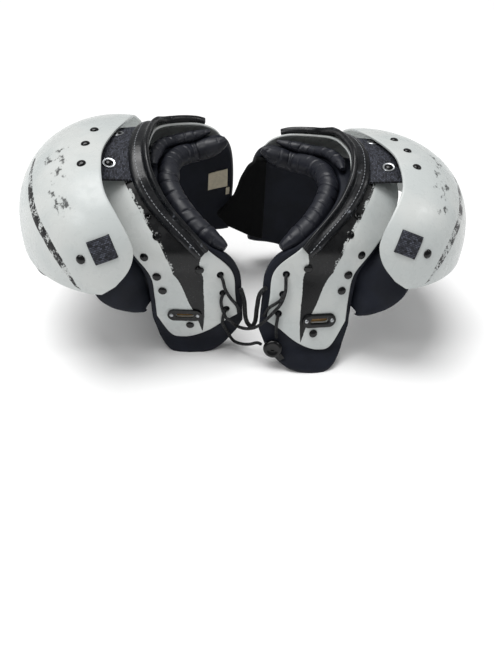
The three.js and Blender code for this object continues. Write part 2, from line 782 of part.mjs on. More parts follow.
// Place on the shell a distance square to the neck edge, which its sections cross at a slant.
function squareToEdge(place, distance) {
  const step = 0.05;
  const run = bodyEdge("inner", place + step).sub(bodyEdge("inner", place - step)).divideScalar(2 * step);
  const chord = bodyEdge("outer", place).sub(bodyEdge("inner", place));
  const cosine = run.dot(chord) / (run.length() * chord.length());
  const sine = Math.sqrt(1 - cosine * cosine);
  return {
    section: place - (distance * cosine) / (sine * run.length()),
    across: distance / (sine * chord.length()),
  };
}

function railRing(place) {
  const width = railWidth * THREE.MathUtils.lerp(railFrontTaper, 1, smooth(railSpan.front, 5, place));
  return railSection.map((corner) => {
    const spot = squareToEdge(place, corner.across * width);
    return onPlate(spot.section, spot.across, railLift(spot.section) + corner.rise * railHeight);
  });
}

// Round roll on the pad's neck edge, gathered at both ends.
function ringAbout(centre, axis, side, halfSide, halfOther, sides) {
  const other = axis.clone().cross(side).normalize();
  return Array.from({ length: sides }, (_, k) => {
    const angle = (2 * Math.PI * k) / sides;
    return centre
      .clone()
      .addScaledVector(side, halfSide * Math.cos(angle))
      .addScaledVector(other, halfOther * Math.sin(angle));
  });
}

// Rings of a roll along a curve, drawn in at both ends.
function rollRings(curve, count, ringSides, halfWidth, halfHeight) {
  return Array.from({ length: count }, (_, i) => {
    const share = i / (count - 1);
    const centre = curve.getPoint(share);
    const axis = curve.getTangent(share);
    const side = axis.clone().cross(new THREE.Vector3(0, 0, 1)).normalize();
    const fromEnd = Math.min(share, 1 - share) * (count - 1);
    const swell = Math.sqrt(Math.min(1, (fromEnd + 0.25) / 2));
    return ringAbout(centre, axis, side, halfWidth * swell, halfHeight * swell, ringSides);
  });
}

function padNeckEdge(place, depth, inset) {
  const edge = padPoint(place, 0, depth);
  const inward = edge.clone().sub(padPoint(place, 0.1, depth)).normalize();
  return edge.addScaledVector(inward, inset);
}

function edgeCurve(stations, depth, inset) {
  return new THREE.CatmullRomCurve3(stations.map((place) => padNeckEdge(place, depth, inset)));
}

const neckRollCurve = edgeCurve(neckRollStations, padThickness / 2, neckRollRadius + 1);
addPair("neck_roll", loft(rollRings(neckRollCurve, 19, 8, neckRollRadius, neckRollRadius)), blackVinyl);
const neckRollRoom = loft(
  rollRings(neckRollCurve, 19, 8, neckRollRadius + gap, neckRollRadius + gap),
);

const collarBandCurve = edgeCurve(collarBandStations, -bandHalfHeight - 2, -bandHalfWidth * 0.6);
addPair("collar_band", loft(rollRings(collarBandCurve, 10, 6, bandHalfWidth, bandHalfHeight)), blackVinyl);

addPair(
  "body_pad",
  cut(
    slab(
      plateSteps.along,
      plateSteps.across + 2,
      (i, j) => padPoint(placeAt(i), j, 0).toArray(),
      (i, j) => padPoint(placeAt(i), j, padThickness).toArray(),
    ),
    [seatOnPlate(beltPocket, beltPlatePlace, 0), neckRollRoom],
  ),
  darkFoam,
  standOnTable,
);

// Shoulder cap with its rivet holes and the two slots of its strap.
function capOutline(along) {
  const place = along * (capSections.length - 1);
  const direction = (turn, rise) => {
    const parts = capSections.map((row) => capDirection(row[turn], row[rise]));
    return new THREE.Vector3(
      through(parts.map((part) => part.x), place),
      through(parts.map((part) => part.y), place),
      through(parts.map((part) => part.z), place),
    ).normalize();
  };
  return { rim: direction("rimTurn", "rimRise"), edge: direction("edgeTurn", "edgeRise") };
}

function capGridPoint(along, share, offset) {
  const { rim, edge } = capOutline(along);
  const angle = rim.angleTo(edge);
  const direction = rim
    .multiplyScalar(Math.sin((1 - share) * angle))
    .addScaledVector(edge, Math.sin(share * angle))
    .divideScalar(Math.sin(angle));
  return onCapAlong(direction, offset);
}

function capNormalAt(point, inner) {
  return point.clone().sub(inner).normalize();
}

function seatOnCapTop(geometry, spot, lift) {
  const point = onCapTop(spot.out, spot.along, lift);
  return seat(geometry, point, capNormalAt(point, onCapTop(spot.out, spot.along, lift - 1)));
}

function seatOnCap(geometry, turn, rise, lift) {
  const point = onCap(turn, rise, lift);
  return seat(geometry, point, capNormalAt(point, onCap(turn, rise, lift - 1)));
}

// Frame on the cap for the strap: millimetres along the strap and across it.
const strapFrame = (() => {
  const origin = onCap(capStrapPlace.turn, capStrapPlace.rise, 0);
  const normal = capNormalAt(origin, onCap(capStrapPlace.turn, capStrapPlace.rise, -1));
  const level = new THREE.Vector3(0, 0, 1).cross(normal).normalize();
  const lean = THREE.MathUtils.degToRad(capStrapPlace.lean);
  const along = level.clone().applyAxisAngle(normal, -lean);
  return { origin, along, across: normal.clone().cross(along) };
})();

function onStrap(along, across, offset) {
  const point = strapFrame.origin
    .clone()
    .addScaledVector(strapFrame.along, along)
    .addScaledVector(strapFrame.across, across);
  const local = point.sub(capCentre);
  const direction = new THREE.Vector3(local.x / capHalfWidth, local.y / capHalfLength, local.z / capRise);
  return onCapAlong(direction.normalize(), offset);
}

// Straight-sided slot across the strap between two places along it.
function strapSlot(fromAlong, toAlong) {
  const half = webbingWidth / 2 + slotClearance;
  const lerp = THREE.MathUtils.lerp;
  const wall = (i, j, lift) => onStrap(lerp(fromAlong, toAlong, i), lerp(-half, half, j), lift).toArray();
  return slab(
    1,
    1,
    (i, j) => wall(i, j, capWall),
    (i, j) => wall(i, j, -capWall * 2),
  );
}

const halfPatch = strapPatchLength / 2;
const strapSlots = [-1, 1].map((end) => {
  const outer = end * (halfPatch + slotClearance);
  const inner = end * (halfPatch - webbingThickness - slotClearance);
  return strapSlot(Math.min(outer, inner), Math.max(outer, inner));
});
addPair(
  "shoulder_cap",
  cut(
    slab(
      22,
      8,
      (i, j) => capGridPoint(i, j, 0).toArray(),
      (i, j) => capGridPoint(i, j, -capWall).toArray(),
    ),
    strapSlots,
  ),
  whitePlastic,
);
for (const spot of capWebRivets) {
  addPair(`cap_rivet_${spot.name}`, seatOnCapTop(rivetHead(), spot, gap / 2), blackMetal);
}
const lobeRivet = seatOnCap(rivetHead(), capLobeRivet.turn, capLobeRivet.rise, gap / 2);
addPair("cap_rivet_lobe", lobeRivet, blackMetal);

// Cap strap: webbing that comes out of one slot, lies on the cap and goes back in at the other.
const strapTop = gap + webbingThickness;
const halfInside = halfPatch - webbingThickness;
const strapProfile = [
  { outAlong: -halfPatch, outLift: -strapLegLength, inAlong: -halfInside, inLift: -strapLegLength },
  { outAlong: -halfPatch, outLift: strapTop, inAlong: -halfInside, inLift: gap },
  { outAlong: -halfPatch / 3, outLift: strapTop, inAlong: -halfInside / 3, inLift: gap },
  { outAlong: halfPatch / 3, outLift: strapTop, inAlong: halfInside / 3, inLift: gap },
  { outAlong: halfPatch, outLift: strapTop, inAlong: halfInside, inLift: gap },
  { outAlong: halfPatch, outLift: -strapLegLength, inAlong: halfInside, inLift: -strapLegLength },
];
function strapPoint(share, across, side) {
  const step = strapProfile[Math.round(share * (strapProfile.length - 1))];
  const shift = THREE.MathUtils.lerp(-webbingWidth / 2, webbingWidth / 2, across);
  return onStrap(step[side + "Along"], shift, step[side + "Lift"]).toArray();
}
addPair(
  "cap_strap",
  slab(
    strapProfile.length - 1,
    4,
    (i, j) => strapPoint(i, j, "out"),
    (i, j) => strapPoint(i, j, "in"),
  ),
  blackWebbing,
);

// Foam pad inside the cap, whose lower edge shows under the rim at the outer front.
const capPadTurns = { front: 32, back: 72 };
function capPadPoint(along, share, offset) {
  const turn = THREE.MathUtils.lerp(capPadTurns.front, capPadTurns.back, along);
  const bow = Math.sin(Math.PI * along);
  const rise = THREE.MathUtils.lerp(1 - 8 * bow, 8 + 12 * bow, share);
  return onCap(turn, rise, offset);
}
const capPadOutside = -capWall - facetRoom;
const capPadEndShare = 0.12;
function capPadDepth(along) {
  const share = THREE.MathUtils.lerp(capPadEndShare, 1 - capPadEndShare, along);
  return capPadThickness * Math.sin(Math.PI * share);
}
addPair(
  "cap_pad",
  slab(
    7,
    3,
    (i, j) => capPadPoint(i, j, capPadOutside).toArray(),
    (i, j) => capPadPoint(i, j, capPadOutside - capPadDepth(i)).toArray(),
  ),
  darkFoam,
);

// Shoulder web: wide webbing from under the rail, over the plate, to the cap's underside.
const webStations = [0, 0.08, 0.3, 0.53, 0.77, 1];
function webPoint(along, share, lift) {
  const place = THREE.MathUtils.lerp(webSpan.front, webSpan.back, along);
  const chord = bodyChord(place);
  const tucked = onPlate(place, (railWidth - webTuck) / chord, gap);
  const leaving = onPlate(place, railWidth / chord, gap);
  const end = onCapTop(
    webEndBeyondCapCentre / capHalfWidth,
    THREE.MathUtils.lerp(webCapSpan.front, webCapSpan.back, along),
    -capWall - facetRoom - webThickness - gap,
  );
  const tuckShare = webStations[1];
  const beyond = (share - tuckShare) / (1 - tuckShare);
  const point = share < tuckShare ? tucked.lerp(leaving, share / tuckShare) : leaving.lerp(end, beyond);
  point.z += lift;
  return point;
}

function webGrid(along, share, lift) {
  return webPoint(along, through(webStations, share * (webStations.length - 1)), lift).toArray();
}

function seatOnWeb(geometry, spot, lift) {
  const point = webPoint(spot.along, spot.across, webThickness + lift);
  const step = 0.02;
  const along = webPoint(spot.along + step, spot.across, 0).sub(webPoint(spot.along - step, spot.across, 0));
  const over = webPoint(spot.along, spot.across + step, 0);
  over.sub(webPoint(spot.along, spot.across - step, 0));
  return seat(geometry, point, over.cross(along).normalize());
}

function webSlab(high, low) {
  return slab(
    7,
    webStations.length - 1,
    (i, j) => webGrid(i, j, high),
    (i, j) => webGrid(i, j, low),
  );
}

addPair("shoulder_web", webSlab(webThickness, 0), blackWebbing);
for (const spot of webRivets) {
  addPair(`web_rivet_${spot.name}`, seatOnWeb(washerRivetHead(), spot, gap), blackMetal);
}

const railRings = Array.from({ length: 20 }, (_, i) =>
  railRing(THREE.MathUtils.lerp(railSpan.front, railSpan.back, i / 19)),
);
addPair(
  "neck_rail",
  cut(loft(railRings), [plateSlab(gap * 1.3, -plateWall * 2), webSlab(webThickness + gap, -gap)]),
  blackVinyl,
);

// Side flap: a leaf of foam from the pad's arm edge, under the front of the cap. Its root stands
// off the pad by most of its own thickness, because it leaves the pad at a slant.
const sidePadRoot = gap * 3 + sidePadThickness * 0.76;
function sidePadPoint(along, share, offset) {
  const place = along * (sidePadSections.length - 1);
  const section = through(column(sidePadSections, "section"), place);
  const edge = padPoint(section, 1, padThickness * 0.3);
  const beside = padPoint(section, 0.9, padThickness * 0.3);
  const start = edge.clone().addScaledVector(edge.clone().sub(beside).normalize(), sidePadRoot);
  const reach = new THREE.Vector3(
    through(column(sidePadSections, "outX"), place) * shellHalfWidth,
    through(column(sidePadSections, "outY"), place) * shellFront,
    through(column(sidePadSections, "outZ"), place) * shellHeight,
  );
  const point = start.addScaledVector(reach, share);
  const normal = new THREE.Vector3(0.45, -0.85, 0.1).normalize();
  const bow = 4 * share * (1 - share) * sidePadThickness;
  return point.addScaledVector(normal, bow - offset);
}
addPair(
  "side_pad",
  slab(
    9,
    3,
    (i, j) => sidePadPoint(i, j, 0).toArray(),
    (i, j) => sidePadPoint(i, j, sidePadThickness).toArray(),
  ),
  darkFoam,
);

// Inner face of the two back pads as they lie, at a distance from the middle, and the space
// between the pads bridged by a straight line.
function backFace(x, place, offset) {
  const face = (share) => padPoint(place, share, padThickness + offset);
  const edge = face(0);
  const middle = face(0.5);
  const share = (0.5 * (Math.abs(x) - edge.x)) / (middle.x - edge.x);
  if (share > 0) return settle(face(share), Math.sign(x));
  const near = settle(edge, -1);
  return near.lerp(settle(edge, 1), (x - near.x) / (-2 * near.x));
}

// Leaf of padding on the wearer's left back pad that reaches over the middle onto the right one.
function overlapPoint(along, share, depth) {
  const place = THREE.MathUtils.lerp(overlapSpan.top, overlapSpan.low, along);
  const reach = through(column(overlapEdge, "reach"), along * (overlapEdge.length - 1)) * overlapReach;
  const x = THREE.MathUtils.lerp(-reach, overlapRoot, share);
  return backFace(x, place, gap * 5 + depth);
}
addShared(
  "back_overlap",
  slab(
    8,
    6,
    (i, j) => overlapPoint(i, j, 0).toArray(),
    (i, j) => overlapPoint(i, j, overlapThickness).toArray(),
  ),
  darkFoam,
);

// Blank sewn label and the tag below it, on the inner face of the right back pad.
for (const label of labels) {
  const spot = (i, j, lift) =>
    backFace(
      -THREE.MathUtils.lerp(label.near, label.far, j) * shellHalfWidth,
      THREE.MathUtils.lerp(label.top, label.low, i),
      gap * 2 + lift,
    ).toArray();
  addShared(
    label.name,
    slab(
      2,
      2,
      (i, j) => spot(i, j, 0),
      (i, j) => spot(i, j, labelThickness),
    ),
    creamCloth,
  );
}

// Laces: each runs from a lace hole over the plate's edge and hangs between the halves.
function stopPoint(stop) {
  if ("plate" in stop) return settle(onPlate(stop.plate, stop.across, stop.lift * laceDiameter), stop.side);
  if ("pad" in stop) return settle(padPoint(stop.pad, stop.across, -stop.lift * laceDiameter), stop.side);
  return new THREE.Vector3(stop.x * shellHalfWidth, stop.y * shellFront, stop.z * shellHeight);
}

function cord(name, stops, radius, count) {
  const curve = new THREE.CatmullRomCurve3(stops.map(stopPoint));
  const rings = Array.from({ length: count }, (_, i) => {
    const share = i / (count - 1);
    const axis = curve.getTangent(share);
    const side = axis.clone().cross(new THREE.Vector3(0.1, 1, 0.1)).normalize();
    return ringAbout(curve.getPoint(share), axis, side, radius, radius, 6);
  });
  addShared(name, loft(rings), blackWebbing);
}

cord("lace_cross", laceCross, laceDiameter / 2, 31);
cord("lace_lower", laceLower, laceDiameter / 2, 19);
cord("lace_tail", laceTail, laceDiameter / 2, 9);
cord("lace_upper_right", laceUpperRight, laceDiameter / 2, 11);
cord("lace_middle_left", laceMiddleLeft, laceDiameter / 2, 9);
cord("throat_loop", throatLoop, loopDiameter / 2, 17);

// Round lock on the loose ends of the lace, lying on the left pad.
const lockDisc = lathe(
  [
    [0, 0],
    [lockDiscRadius * 0.92, 0],
    [lockDiscRadius, lockDiscHeight / 3],
    [lockDiscRadius * 0.85, lockDiscHeight],
    [0, lockDiscHeight],
  ],
  12,
);
const lockCentre = stopPoint(lockPlace);
const lockBeside = stopPoint({ ...lockPlace, across: lockPlace.across + 0.05 });
const lockAbove = stopPoint({ ...lockPlace, pad: lockPlace.pad + 0.1 });
const lockNormal = lockBeside.sub(lockCentre).cross(lockAbove.sub(lockCentre)).normalize();
addShared("lace_lock", seat(lockDisc, lockCentre, lockNormal), blackMetal);

// The frame's origin lies under the middle of the whole.
const extent = new THREE.Box3().setFromObject(root);
root.position.y = -(extent.min.y + extent.max.y) / 2;

export default root;
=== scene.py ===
"""A football shoulder pad: two white shells over foam, joined by laces at the chest.

Lengths in this file are millimetres and become metres where a point is placed. The chest
faces -Y, +X is the wearer's left and z = 0 is the table that the pad stands on.
"""

import functools
import math

import bmesh
import bpy
from bpy.props import FloatProperty, FloatVectorProperty, IntProperty, PointerProperty
from mathutils import Matrix, Vector, noise


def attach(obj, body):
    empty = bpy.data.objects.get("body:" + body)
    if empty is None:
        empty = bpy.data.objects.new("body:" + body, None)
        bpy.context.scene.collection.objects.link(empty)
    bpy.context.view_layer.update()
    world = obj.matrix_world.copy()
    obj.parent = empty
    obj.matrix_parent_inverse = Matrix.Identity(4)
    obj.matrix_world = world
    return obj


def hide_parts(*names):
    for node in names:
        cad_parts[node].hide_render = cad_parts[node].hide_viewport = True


bl_info = {
    "name": "Football Shoulder Pad",
    "version": (1, 0, 0),
    "blender": (4, 5, 0),
    "location": "3D View > Sidebar > Shoulder Pad",
    "description": "Builds a laced football shoulder pad with shells, caps, rails and foam",
    "category": "Add Mesh",
}

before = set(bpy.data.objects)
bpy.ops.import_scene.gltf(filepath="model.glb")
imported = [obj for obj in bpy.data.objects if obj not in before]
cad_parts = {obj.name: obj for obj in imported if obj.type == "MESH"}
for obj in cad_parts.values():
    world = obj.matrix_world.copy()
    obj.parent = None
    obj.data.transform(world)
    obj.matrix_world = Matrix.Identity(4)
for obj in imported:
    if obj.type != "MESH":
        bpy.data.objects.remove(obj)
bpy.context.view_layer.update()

MM = 0.001
# Puts the settled halves over the middle of the frame.
FRAME_SHIFT = 2.1314544677734375

# How the halves settle when the pad stands by itself: each tips about a level line through
# this place and its chest swings, more and more below the height where the swing starts.
TIP_Y, TIP_Z = -90, 152
TIP_TURN = 2.29
CHEST_SWING = 14.2
SWING_TOP, SWING_DROP = 120, 110
SWING_FRONT = 60

# Body shell and its foam.
SHELL_HALF_WIDTH = 184
SHELL_FRONT = 150
SHELL_BACK = 116
SHELL_HEIGHT = 230
PLATE_WALL = 3
PLATE_HEM_DROP = 38
GAP = 0.3
FACET_ROOM = 0.8
PAD_THICKNESS = 14
PAD_NECK_MARGIN = 8
PAD_CHEST_MARGIN = 10
PAD_ARM_MARGIN = 8
PAD_HEM_DROP = 72
PAD_HEM_FLARE = 14
PAD_HEM_FLARE_HEIGHT = 26
ARCH_GAP = 25
PLATE_COLUMNS = 5

# Rail and rolls round the neck.
RAIL_WIDTH = 22
RAIL_HEIGHT = 9
RAIL_FRONT, RAIL_BACK = 3, 10.2
RAIL_FRONT_TAPER = 0.7
NECK_ROLL_RADIUS = 12
BAND_HALF_WIDTH = 7
BAND_HALF_HEIGHT = 5
NECK_ROLL_STATIONS = [2.95, 3.6, 4.4, 5.3, 6.3, 7.3, 8.3, 9.2, 10, 10.6]
COLLAR_BAND_STATIONS = [6.2, 7, 8, 9, 9.8, 10.3]

# Cap: part of a flattened dome. CAP_PAD_TURNS are degrees round it.
CAP_INSET = 21.6
CAP_HALF_WIDTH = 118.1
CAP_HALF_LENGTH = 160.9
CAP_RISE = 110
CAP_ROUNDNESS = 2.55
CAP_ABOVE_SHELL = 5.8
CAP_WALL = 3
CAP_PAD_THICKNESS = 9
CAP_PAD_TURNS = (32, 72)

# Webbing, flaps and labels. STRAP_TURN, STRAP_RISE and STRAP_TWIST are degrees.
WEB_THICKNESS = 2
WEB_TUCK = 5
WEB_END_BEYOND_CAP_CENTRE = 42
WEB_FRONT, WEB_BACK = 5.05, 8.1
WEB_CAP_FRONT, WEB_CAP_BACK = -0.5, 0.17
WEB_TUCK_SHARE = 0.08
WEBBING_WIDTH = 25
WEBBING_THICKNESS = 1.6
STRAP_PATCH_LENGTH = 25
STRAP_LEG_LENGTH = 7
STRAP_BEND = 1.7
STRAP_TURN, STRAP_RISE, STRAP_TWIST = 0.5, 25.5, -20
SLOT_CLEARANCE = 0.5
SIDE_PAD_THICKNESS = 8
OVERLAP_THICKNESS = 9
OVERLAP_REACH = 44
OVERLAP_TOP, OVERLAP_LOW = 11.4, 13.85
OVERLAP_ROOT = 42
LABEL_THICKNESS = 1

# Small hardware. LOBE_RIVET is a turn and a rise on the cap, in degrees.
RIVET_RADIUS = 5.1
RIVET_HEIGHT = 2.4
WASHER_RADIUS = 7.4
EYELET_RADIUS = 3.6
LACE_HOLE_RADIUS = 4.4
LACE_DIAMETER = 4
LOOP_DIAMETER = 5.6
LOCK_RADIUS = 12
LOCK_HEIGHT = 6
LOCK_HOLE = 4.2
LOCK_TONGUE = (9, 8, 2)
LOCK_TONGUE_BEYOND = 2
LOCK_TONGUE_TURN = -50
BELT_LENGTH = 42
BELT_WIDTH = 17.5
BELT_THICKNESS = 1.6
BELT_SLOT_LENGTH = 22
BELT_SLOT_WIDTH = 5.6
BELT_RIVET_RADIUS = 2.6
BELT_RIVET_HEIGHT = 2.2
KEEPER_SIZE = (24, 8, 1.2)
KEEPER_DEPTH = 1.6
LOBE_RIVET = (12, 20)

SIDES = (("left", 1), ("right", -1))


def table(columns, *rows):
    """Rows of numbers under one line of column names, kept as a list for each column."""
    return dict(zip(columns.split(), (list(column) for column in zip(*rows))))


def rows_of(columns):
    """The rows of a table, each as a dict."""
    return [dict(zip(columns, row)) for row in zip(*columns.values())]


BODY_SECTIONS = table(
    "inner_x inner_y inner_z outer_x outer_y outer_z swell",
    (0.092, -0.853, 0.27, 0.63, -0.84, 0.26, 0.06),
    (0.109, -0.813, 0.39, 0.636, -0.813, 0.383, 0.05),
    (0.136, -0.76, 0.522, 0.652, -0.8, 0.513, 0.04),
    (0.293, -0.78, 0.665, 0.75, -0.76, 0.63, 0.06),
    (0.5, -0.59, 0.8, 0.874, -0.613, 0.726, 0.07),
    (0.614, -0.4, 0.909, 0.96, -0.413, 0.826, 0.07),
    (0.647, -0.2, 0.983, 0.978, -0.187, 0.896, 0.06),
    (0.641, 0.02, 1, 1, 0.03, 0.93, 0.06),
    (0.609, 0.345, 0.991, 0.989, 0.33, 0.909, 0.06),
    (0.516, 0.62, 0.961, 0.946, 0.586, 0.848, 0.07),
    (0.315, 0.76, 0.939, 0.88, 0.776, 0.748, 0.08),
    (0.185, 0.83, 0.878, 0.815, 0.88, 0.63, 0.07),
    (0.12, 0.89, 0.752, 0.77, 0.94, 0.504, 0.06),
    (0.1, 0.95, 0.557, 0.72, 1.01, 0.378, 0.05),
    (0.12, 1.03, 0.348, 0.66, 1.09, 0.274, 0.05),
)

PLATE_HEM = table(
    "chest back",
    (0, 0),
    (0.27, 0.3),
    (0.63, 0.62),
    (0.88, 0.7),
    (1, 0.75),
    (0.88, 0.7),
    (0, 0.3),
)

PAD_HEM = table(
    "chest back",
    (0.2, 0.46),
    (0.58, 0.5),
    (0.8, 0.52),
    (0.9, 0.58),
    (0.93, 0.84),
    (0.66, 1.15),
    (0.05, 1.1),
)

CAP_SECTIONS = table(
    "rim_turn rim_rise edge_turn edge_rise",
    (3, -1, -4, 4),
    (10, -1, -12, 13.5),
    (18, -0.5, -15.5, 22.5),
    (29, 0, -14, 31),
    (42, 0, -9, 41),
    (57, 0, -1, 52.5),
    (73, 0, 5, 65),
    (89, 0, 12, 77),
    (104, 0, 203, 87),
    (118, 0, 201, 76),
    (133, 0, 198, 64),
    (147, 0, 193, 49),
    (160, -0.5, 194, 34),
    (170, -1, 192, 18),
    (177, -1, 184, 4),
)

SIDE_PAD_SECTIONS = table(
    "section out_x out_y out_z",
    (0.35, 0.03, -0.08, -0.03),
    (0.8, 0.1, -0.13, -0.065),
    (1.4, 0.18, -0.17, -0.08),
    (2, 0.235, -0.2, -0.08),
    (2.7, 0.24, -0.2, -0.065),
    (3.5, 0.22, -0.19, -0.055),
    (4.3, 0.2, -0.14, -0.06),
)

OVERLAP_EDGE = table(
    "reach",
    (-0.4,),
    (-0.35,),
    (-0.17,),
    (-0.05,),
    (0.07,),
    (0.17,),
    (0.35,),
    (0.92,),
    (0.4,),
)

PLATE_RIVETS = table(
    "name section across lift",
    ("hem", 0.3, 0.585, 0.6),
    ("chest", 2.25, 0.355, 1.4),
    ("arm_low", 1.35, 0.89, 0.6),
    ("arm_mid", 2, 0.92, 0.6),
    ("arm_high", 2.87, 0.88, -0.8),
    ("rail", 3.48, 0.48, -0.5),
)

LACE_HOLES = table(
    "section across",
    (1.92, 0.158),
    (1.17, 0.155),
    (0.47, 0.13),
)

CAP_WEB_RIVETS = table(
    "name out along",
    ("front", 0.22, -0.41),
    ("middle", 0.225, -0.16),
    ("back", 0.18, 0.07),
)

WEB_RIVETS = table(
    "name along across",
    ("front", 0.2, 0.4),
    ("back", 0.78, 0.35),
)

LABELS = table(
    "name near far top low",
    ("care_label", 0.145, 0.285, 12.45, 12.95),
    ("care_tag", 0.11, 0.165, 12.99, 13.16),
)

LACE_CROSS = [
    ("plate", 1.17, 0.155, -0.5, -1),
    ("plate", 1.12, 0.168, 0.82, -1),
    ("plate", 0.9, 0.19, 0.82, -1),
    ("plate", 0.54, 0.18, 1.02, -1),
    ("plate", 0.28, 0.155, 2.4, -1),
    ("plate", 0.09, 0.12, 1.62, -1),
    ("air", -0.092, -0.793, 0.18, 0),
    ("air", -0.046, -0.827, 0.181, 0),
    ("air", -0.007, -0.853, 0.193, 0),
    ("air", 0.041, -0.908, 0.24, 0),
    ("plate", 0.26, 0.025, 1.12, 1),
    ("plate", 0.6, 0.085, 1.52, 1),
    ("plate", 0.9, 0.14, 1.97, 1),
    ("plate", 1.3, 0.182, 1.32, 1),
    ("plate", 1.8, 0.168, 0.87, 1),
    ("plate", 1.92, 0.158, -0.5, 1),
]

LACE_LOWER = [
    ("plate", 0.47, 0.13, -0.5, -1),
    ("plate", 0.42, 0.155, 0.76, -1),
    ("plate", 0.25, 0.178, 0.76, -1),
    ("plate", 0.06, 0.19, 0.84, -1),
    ("pad", 0.24, 0.233, 0.84, -1),
    ("air", -0.108, -0.78, 0.066, 0),
    ("air", -0.059, -0.827, 0.07, 0),
    ("air", -0.009, -0.873, 0.092, 0),
    ("air", 0.041, -0.933, 0.136, 0),
    ("air", 0.06, -0.973, 0.149, 0),
]

LACE_TAIL = [
    ("plate", 0.47, 0.13, -0.5, 1),
    ("plate", 0.4, 0.128, 0.65, 1),
    ("plate", 0.13, 0.12, 1.15, 1),
    ("pad", 0.4, 0.228, 1.2, 1),
    ("pad", 0.31, 0.233, 0.8, 1),
]

LACE_UPPER_RIGHT = [
    ("plate", 1.92, 0.158, -0.5, -1),
    ("plate", 1.78, 0.155, 1.2, -1),
    ("plate", 1.37, 0.135, 1.15, -1),
    ("plate", 1.01, 0.08, 1.15, -1),
    ("plate", 0.6, 0.014, 1.2, -1),
    ("pad", 0.52, 0.085, 1.15, -1),
]

LACE_MIDDLE_LEFT = [
    ("plate", 1.17, 0.155, -0.5, 1),
    ("plate", 1.02, 0.14, 0.85, 1),
    ("plate", 0.86, 0.09, 0.88, 1),
    ("plate", 0.62, 0.012, 0.98, 1),
    ("pad", 0.56, 0.075, 0.88, 1),
]

THROAT_LOOP = [
    ("pad", 1.27, 0.047, 0.85, -1),
    ("pad", 0.8, 0.0, 0.9, -1),
    ("air", -0.034, -0.78, 0.229, 0),
    ("air", -0.015, -0.793, 0.193, 0),
    ("air", 0.008, -0.8, 0.18, 0),
    ("air", 0.028, -0.807, 0.214, 0),
    ("air", 0.035, -0.807, 0.309, 0),
    ("pad", 1.16, -0.02, 0.9, 1),
    ("pad", 1.39, 0.08, 0.85, 1),
]

# Black stripe printed on the plate from under the rail to a point at the hem: its two edges as
# shares across, at section numbers.
STRIPE = table(
    "section near far",
    (0.0, 0.428, 0.432),
    (0.41, 0.4, 0.49),
    (0.95, 0.388, 0.59),
    (1.5, 0.39, 0.66),
    (2.1, 0.36, 0.72),
    (2.5, 0.28, 0.66),
    (2.9, 0.1, 0.6),
    (3.2, -0.1, 0.545),
    (3.75, -0.1, 0.49),
    (4.2, -0.1, 0.45),
    (4.8, -0.1, 0.46),
    (5.3, -0.1, 0.49),
)

# Section of the rail, neck side first, as shares of its width and height.
RAIL_PROFILE = table(
    "across rise",
    (0.06, 0.0),
    (-0.03, 0.12),
    (-0.055, 0.4),
    (-0.045, 0.68),
    (0.0, 0.9),
    (0.075, 1.0),
    (0.15, 0.93),
    (0.215, 0.74),
    (0.27, 0.52),
    (0.34, 0.43),
    (0.45, 0.44),
    (0.6, 0.48),
    (0.74, 0.48),
    (0.86, 0.42),
    (0.95, 0.29),
    (1.0, 0.12),
    (1.0, 0.0),
    (0.7, 0.0),
    (0.35, 0.0),
)


def through(values, place):
    """A smooth curve through equal steps of a list, at a place from 0 to its last index."""
    last = len(values) - 1
    step = min(max(math.floor(place), 0), last - 1)
    t = place - step
    b, c = values[step], values[step + 1]
    a = values[step - 1] if step > 0 else 2 * values[0] - values[1]
    d = values[step + 2] if step + 2 <= last else 2 * values[last] - values[last - 1]
    bend = 2 * a - 5 * b + 4 * c - d
    twist = 3 * b - a - 3 * c + d
    return 0.5 * (2 * b + (c - a) * t + bend * t * t + twist * t * t * t)


def smooth(low, high, value):
    """0 below low, 1 above high and an S curve between."""
    t = min(max((value - low) / (high - low), 0), 1)
    return t * t * (3 - 2 * t)


def mix(a, b, share):
    """The value a share of the way from a to b."""
    return a + (b - a) * share


def clamp(value):
    """The value kept between 0 and 1."""
    return min(max(value, 0), 1)


def between(rows, key, value, name):
    """A table's column read by straight lines between its rows."""
    keys, values = rows[key], rows[name]
    for k in range(len(keys) - 1):
        if value <= keys[k + 1]:
            share = clamp((value - keys[k]) / (keys[k + 1] - keys[k]))
            return mix(values[k], values[k + 1], share)
    return values[-1]


LAST_SECTION = len(BODY_SECTIONS["swell"]) - 1
HEM_CROWDING = 0.45
HEM_REACH = 1.6


def place_at(along):
    """Section number at a share of the way along, with the steps crowded towards both hems."""
    return LAST_SECTION * (along - HEM_CROWDING * math.sin(2 * math.pi * along) / (2 * math.pi))


@functools.lru_cache(maxsize=None)
def body_edge(side, place):
    """The shell's neck edge (inner) or arm edge (outer) at a section number."""
    depth = through(BODY_SECTIONS[side + "_y"], place)
    return Vector((
        through(BODY_SECTIONS[side + "_x"], place) * SHELL_HALF_WIDTH,
        depth * (SHELL_FRONT if depth < 0 else SHELL_BACK),
        through(BODY_SECTIONS[side + "_z"], place) * SHELL_HEIGHT,
    ))


@functools.lru_cache(maxsize=None)
def body_section(place):
    """A section's neck edge, its chord, the way it bows and how far."""
    inner = body_edge("inner", place)
    chord = body_edge("outer", place) - inner
    after = body_edge("inner", place + 0.5) + body_edge("outer", place + 0.5)
    before = body_edge("inner", place - 0.5) + body_edge("outer", place - 0.5)
    out = chord.cross(after - before).normalized()
    return inner, chord, out, through(BODY_SECTIONS["swell"], place) * chord.length * 4


def body_point(place, across):
    """A point of the shell's outer face."""
    inner, chord, out, bow = body_section(place)
    return inner + chord * across + out * (bow * across * (1 - across))


def body_normal(place, across):
    """The way out of the shell's outer face."""
    step = 0.02
    along = body_point(place + step, across) - body_point(place - step, across)
    over = body_point(place, across + step) - body_point(place, across - step)
    return over.cross(along).normalized()


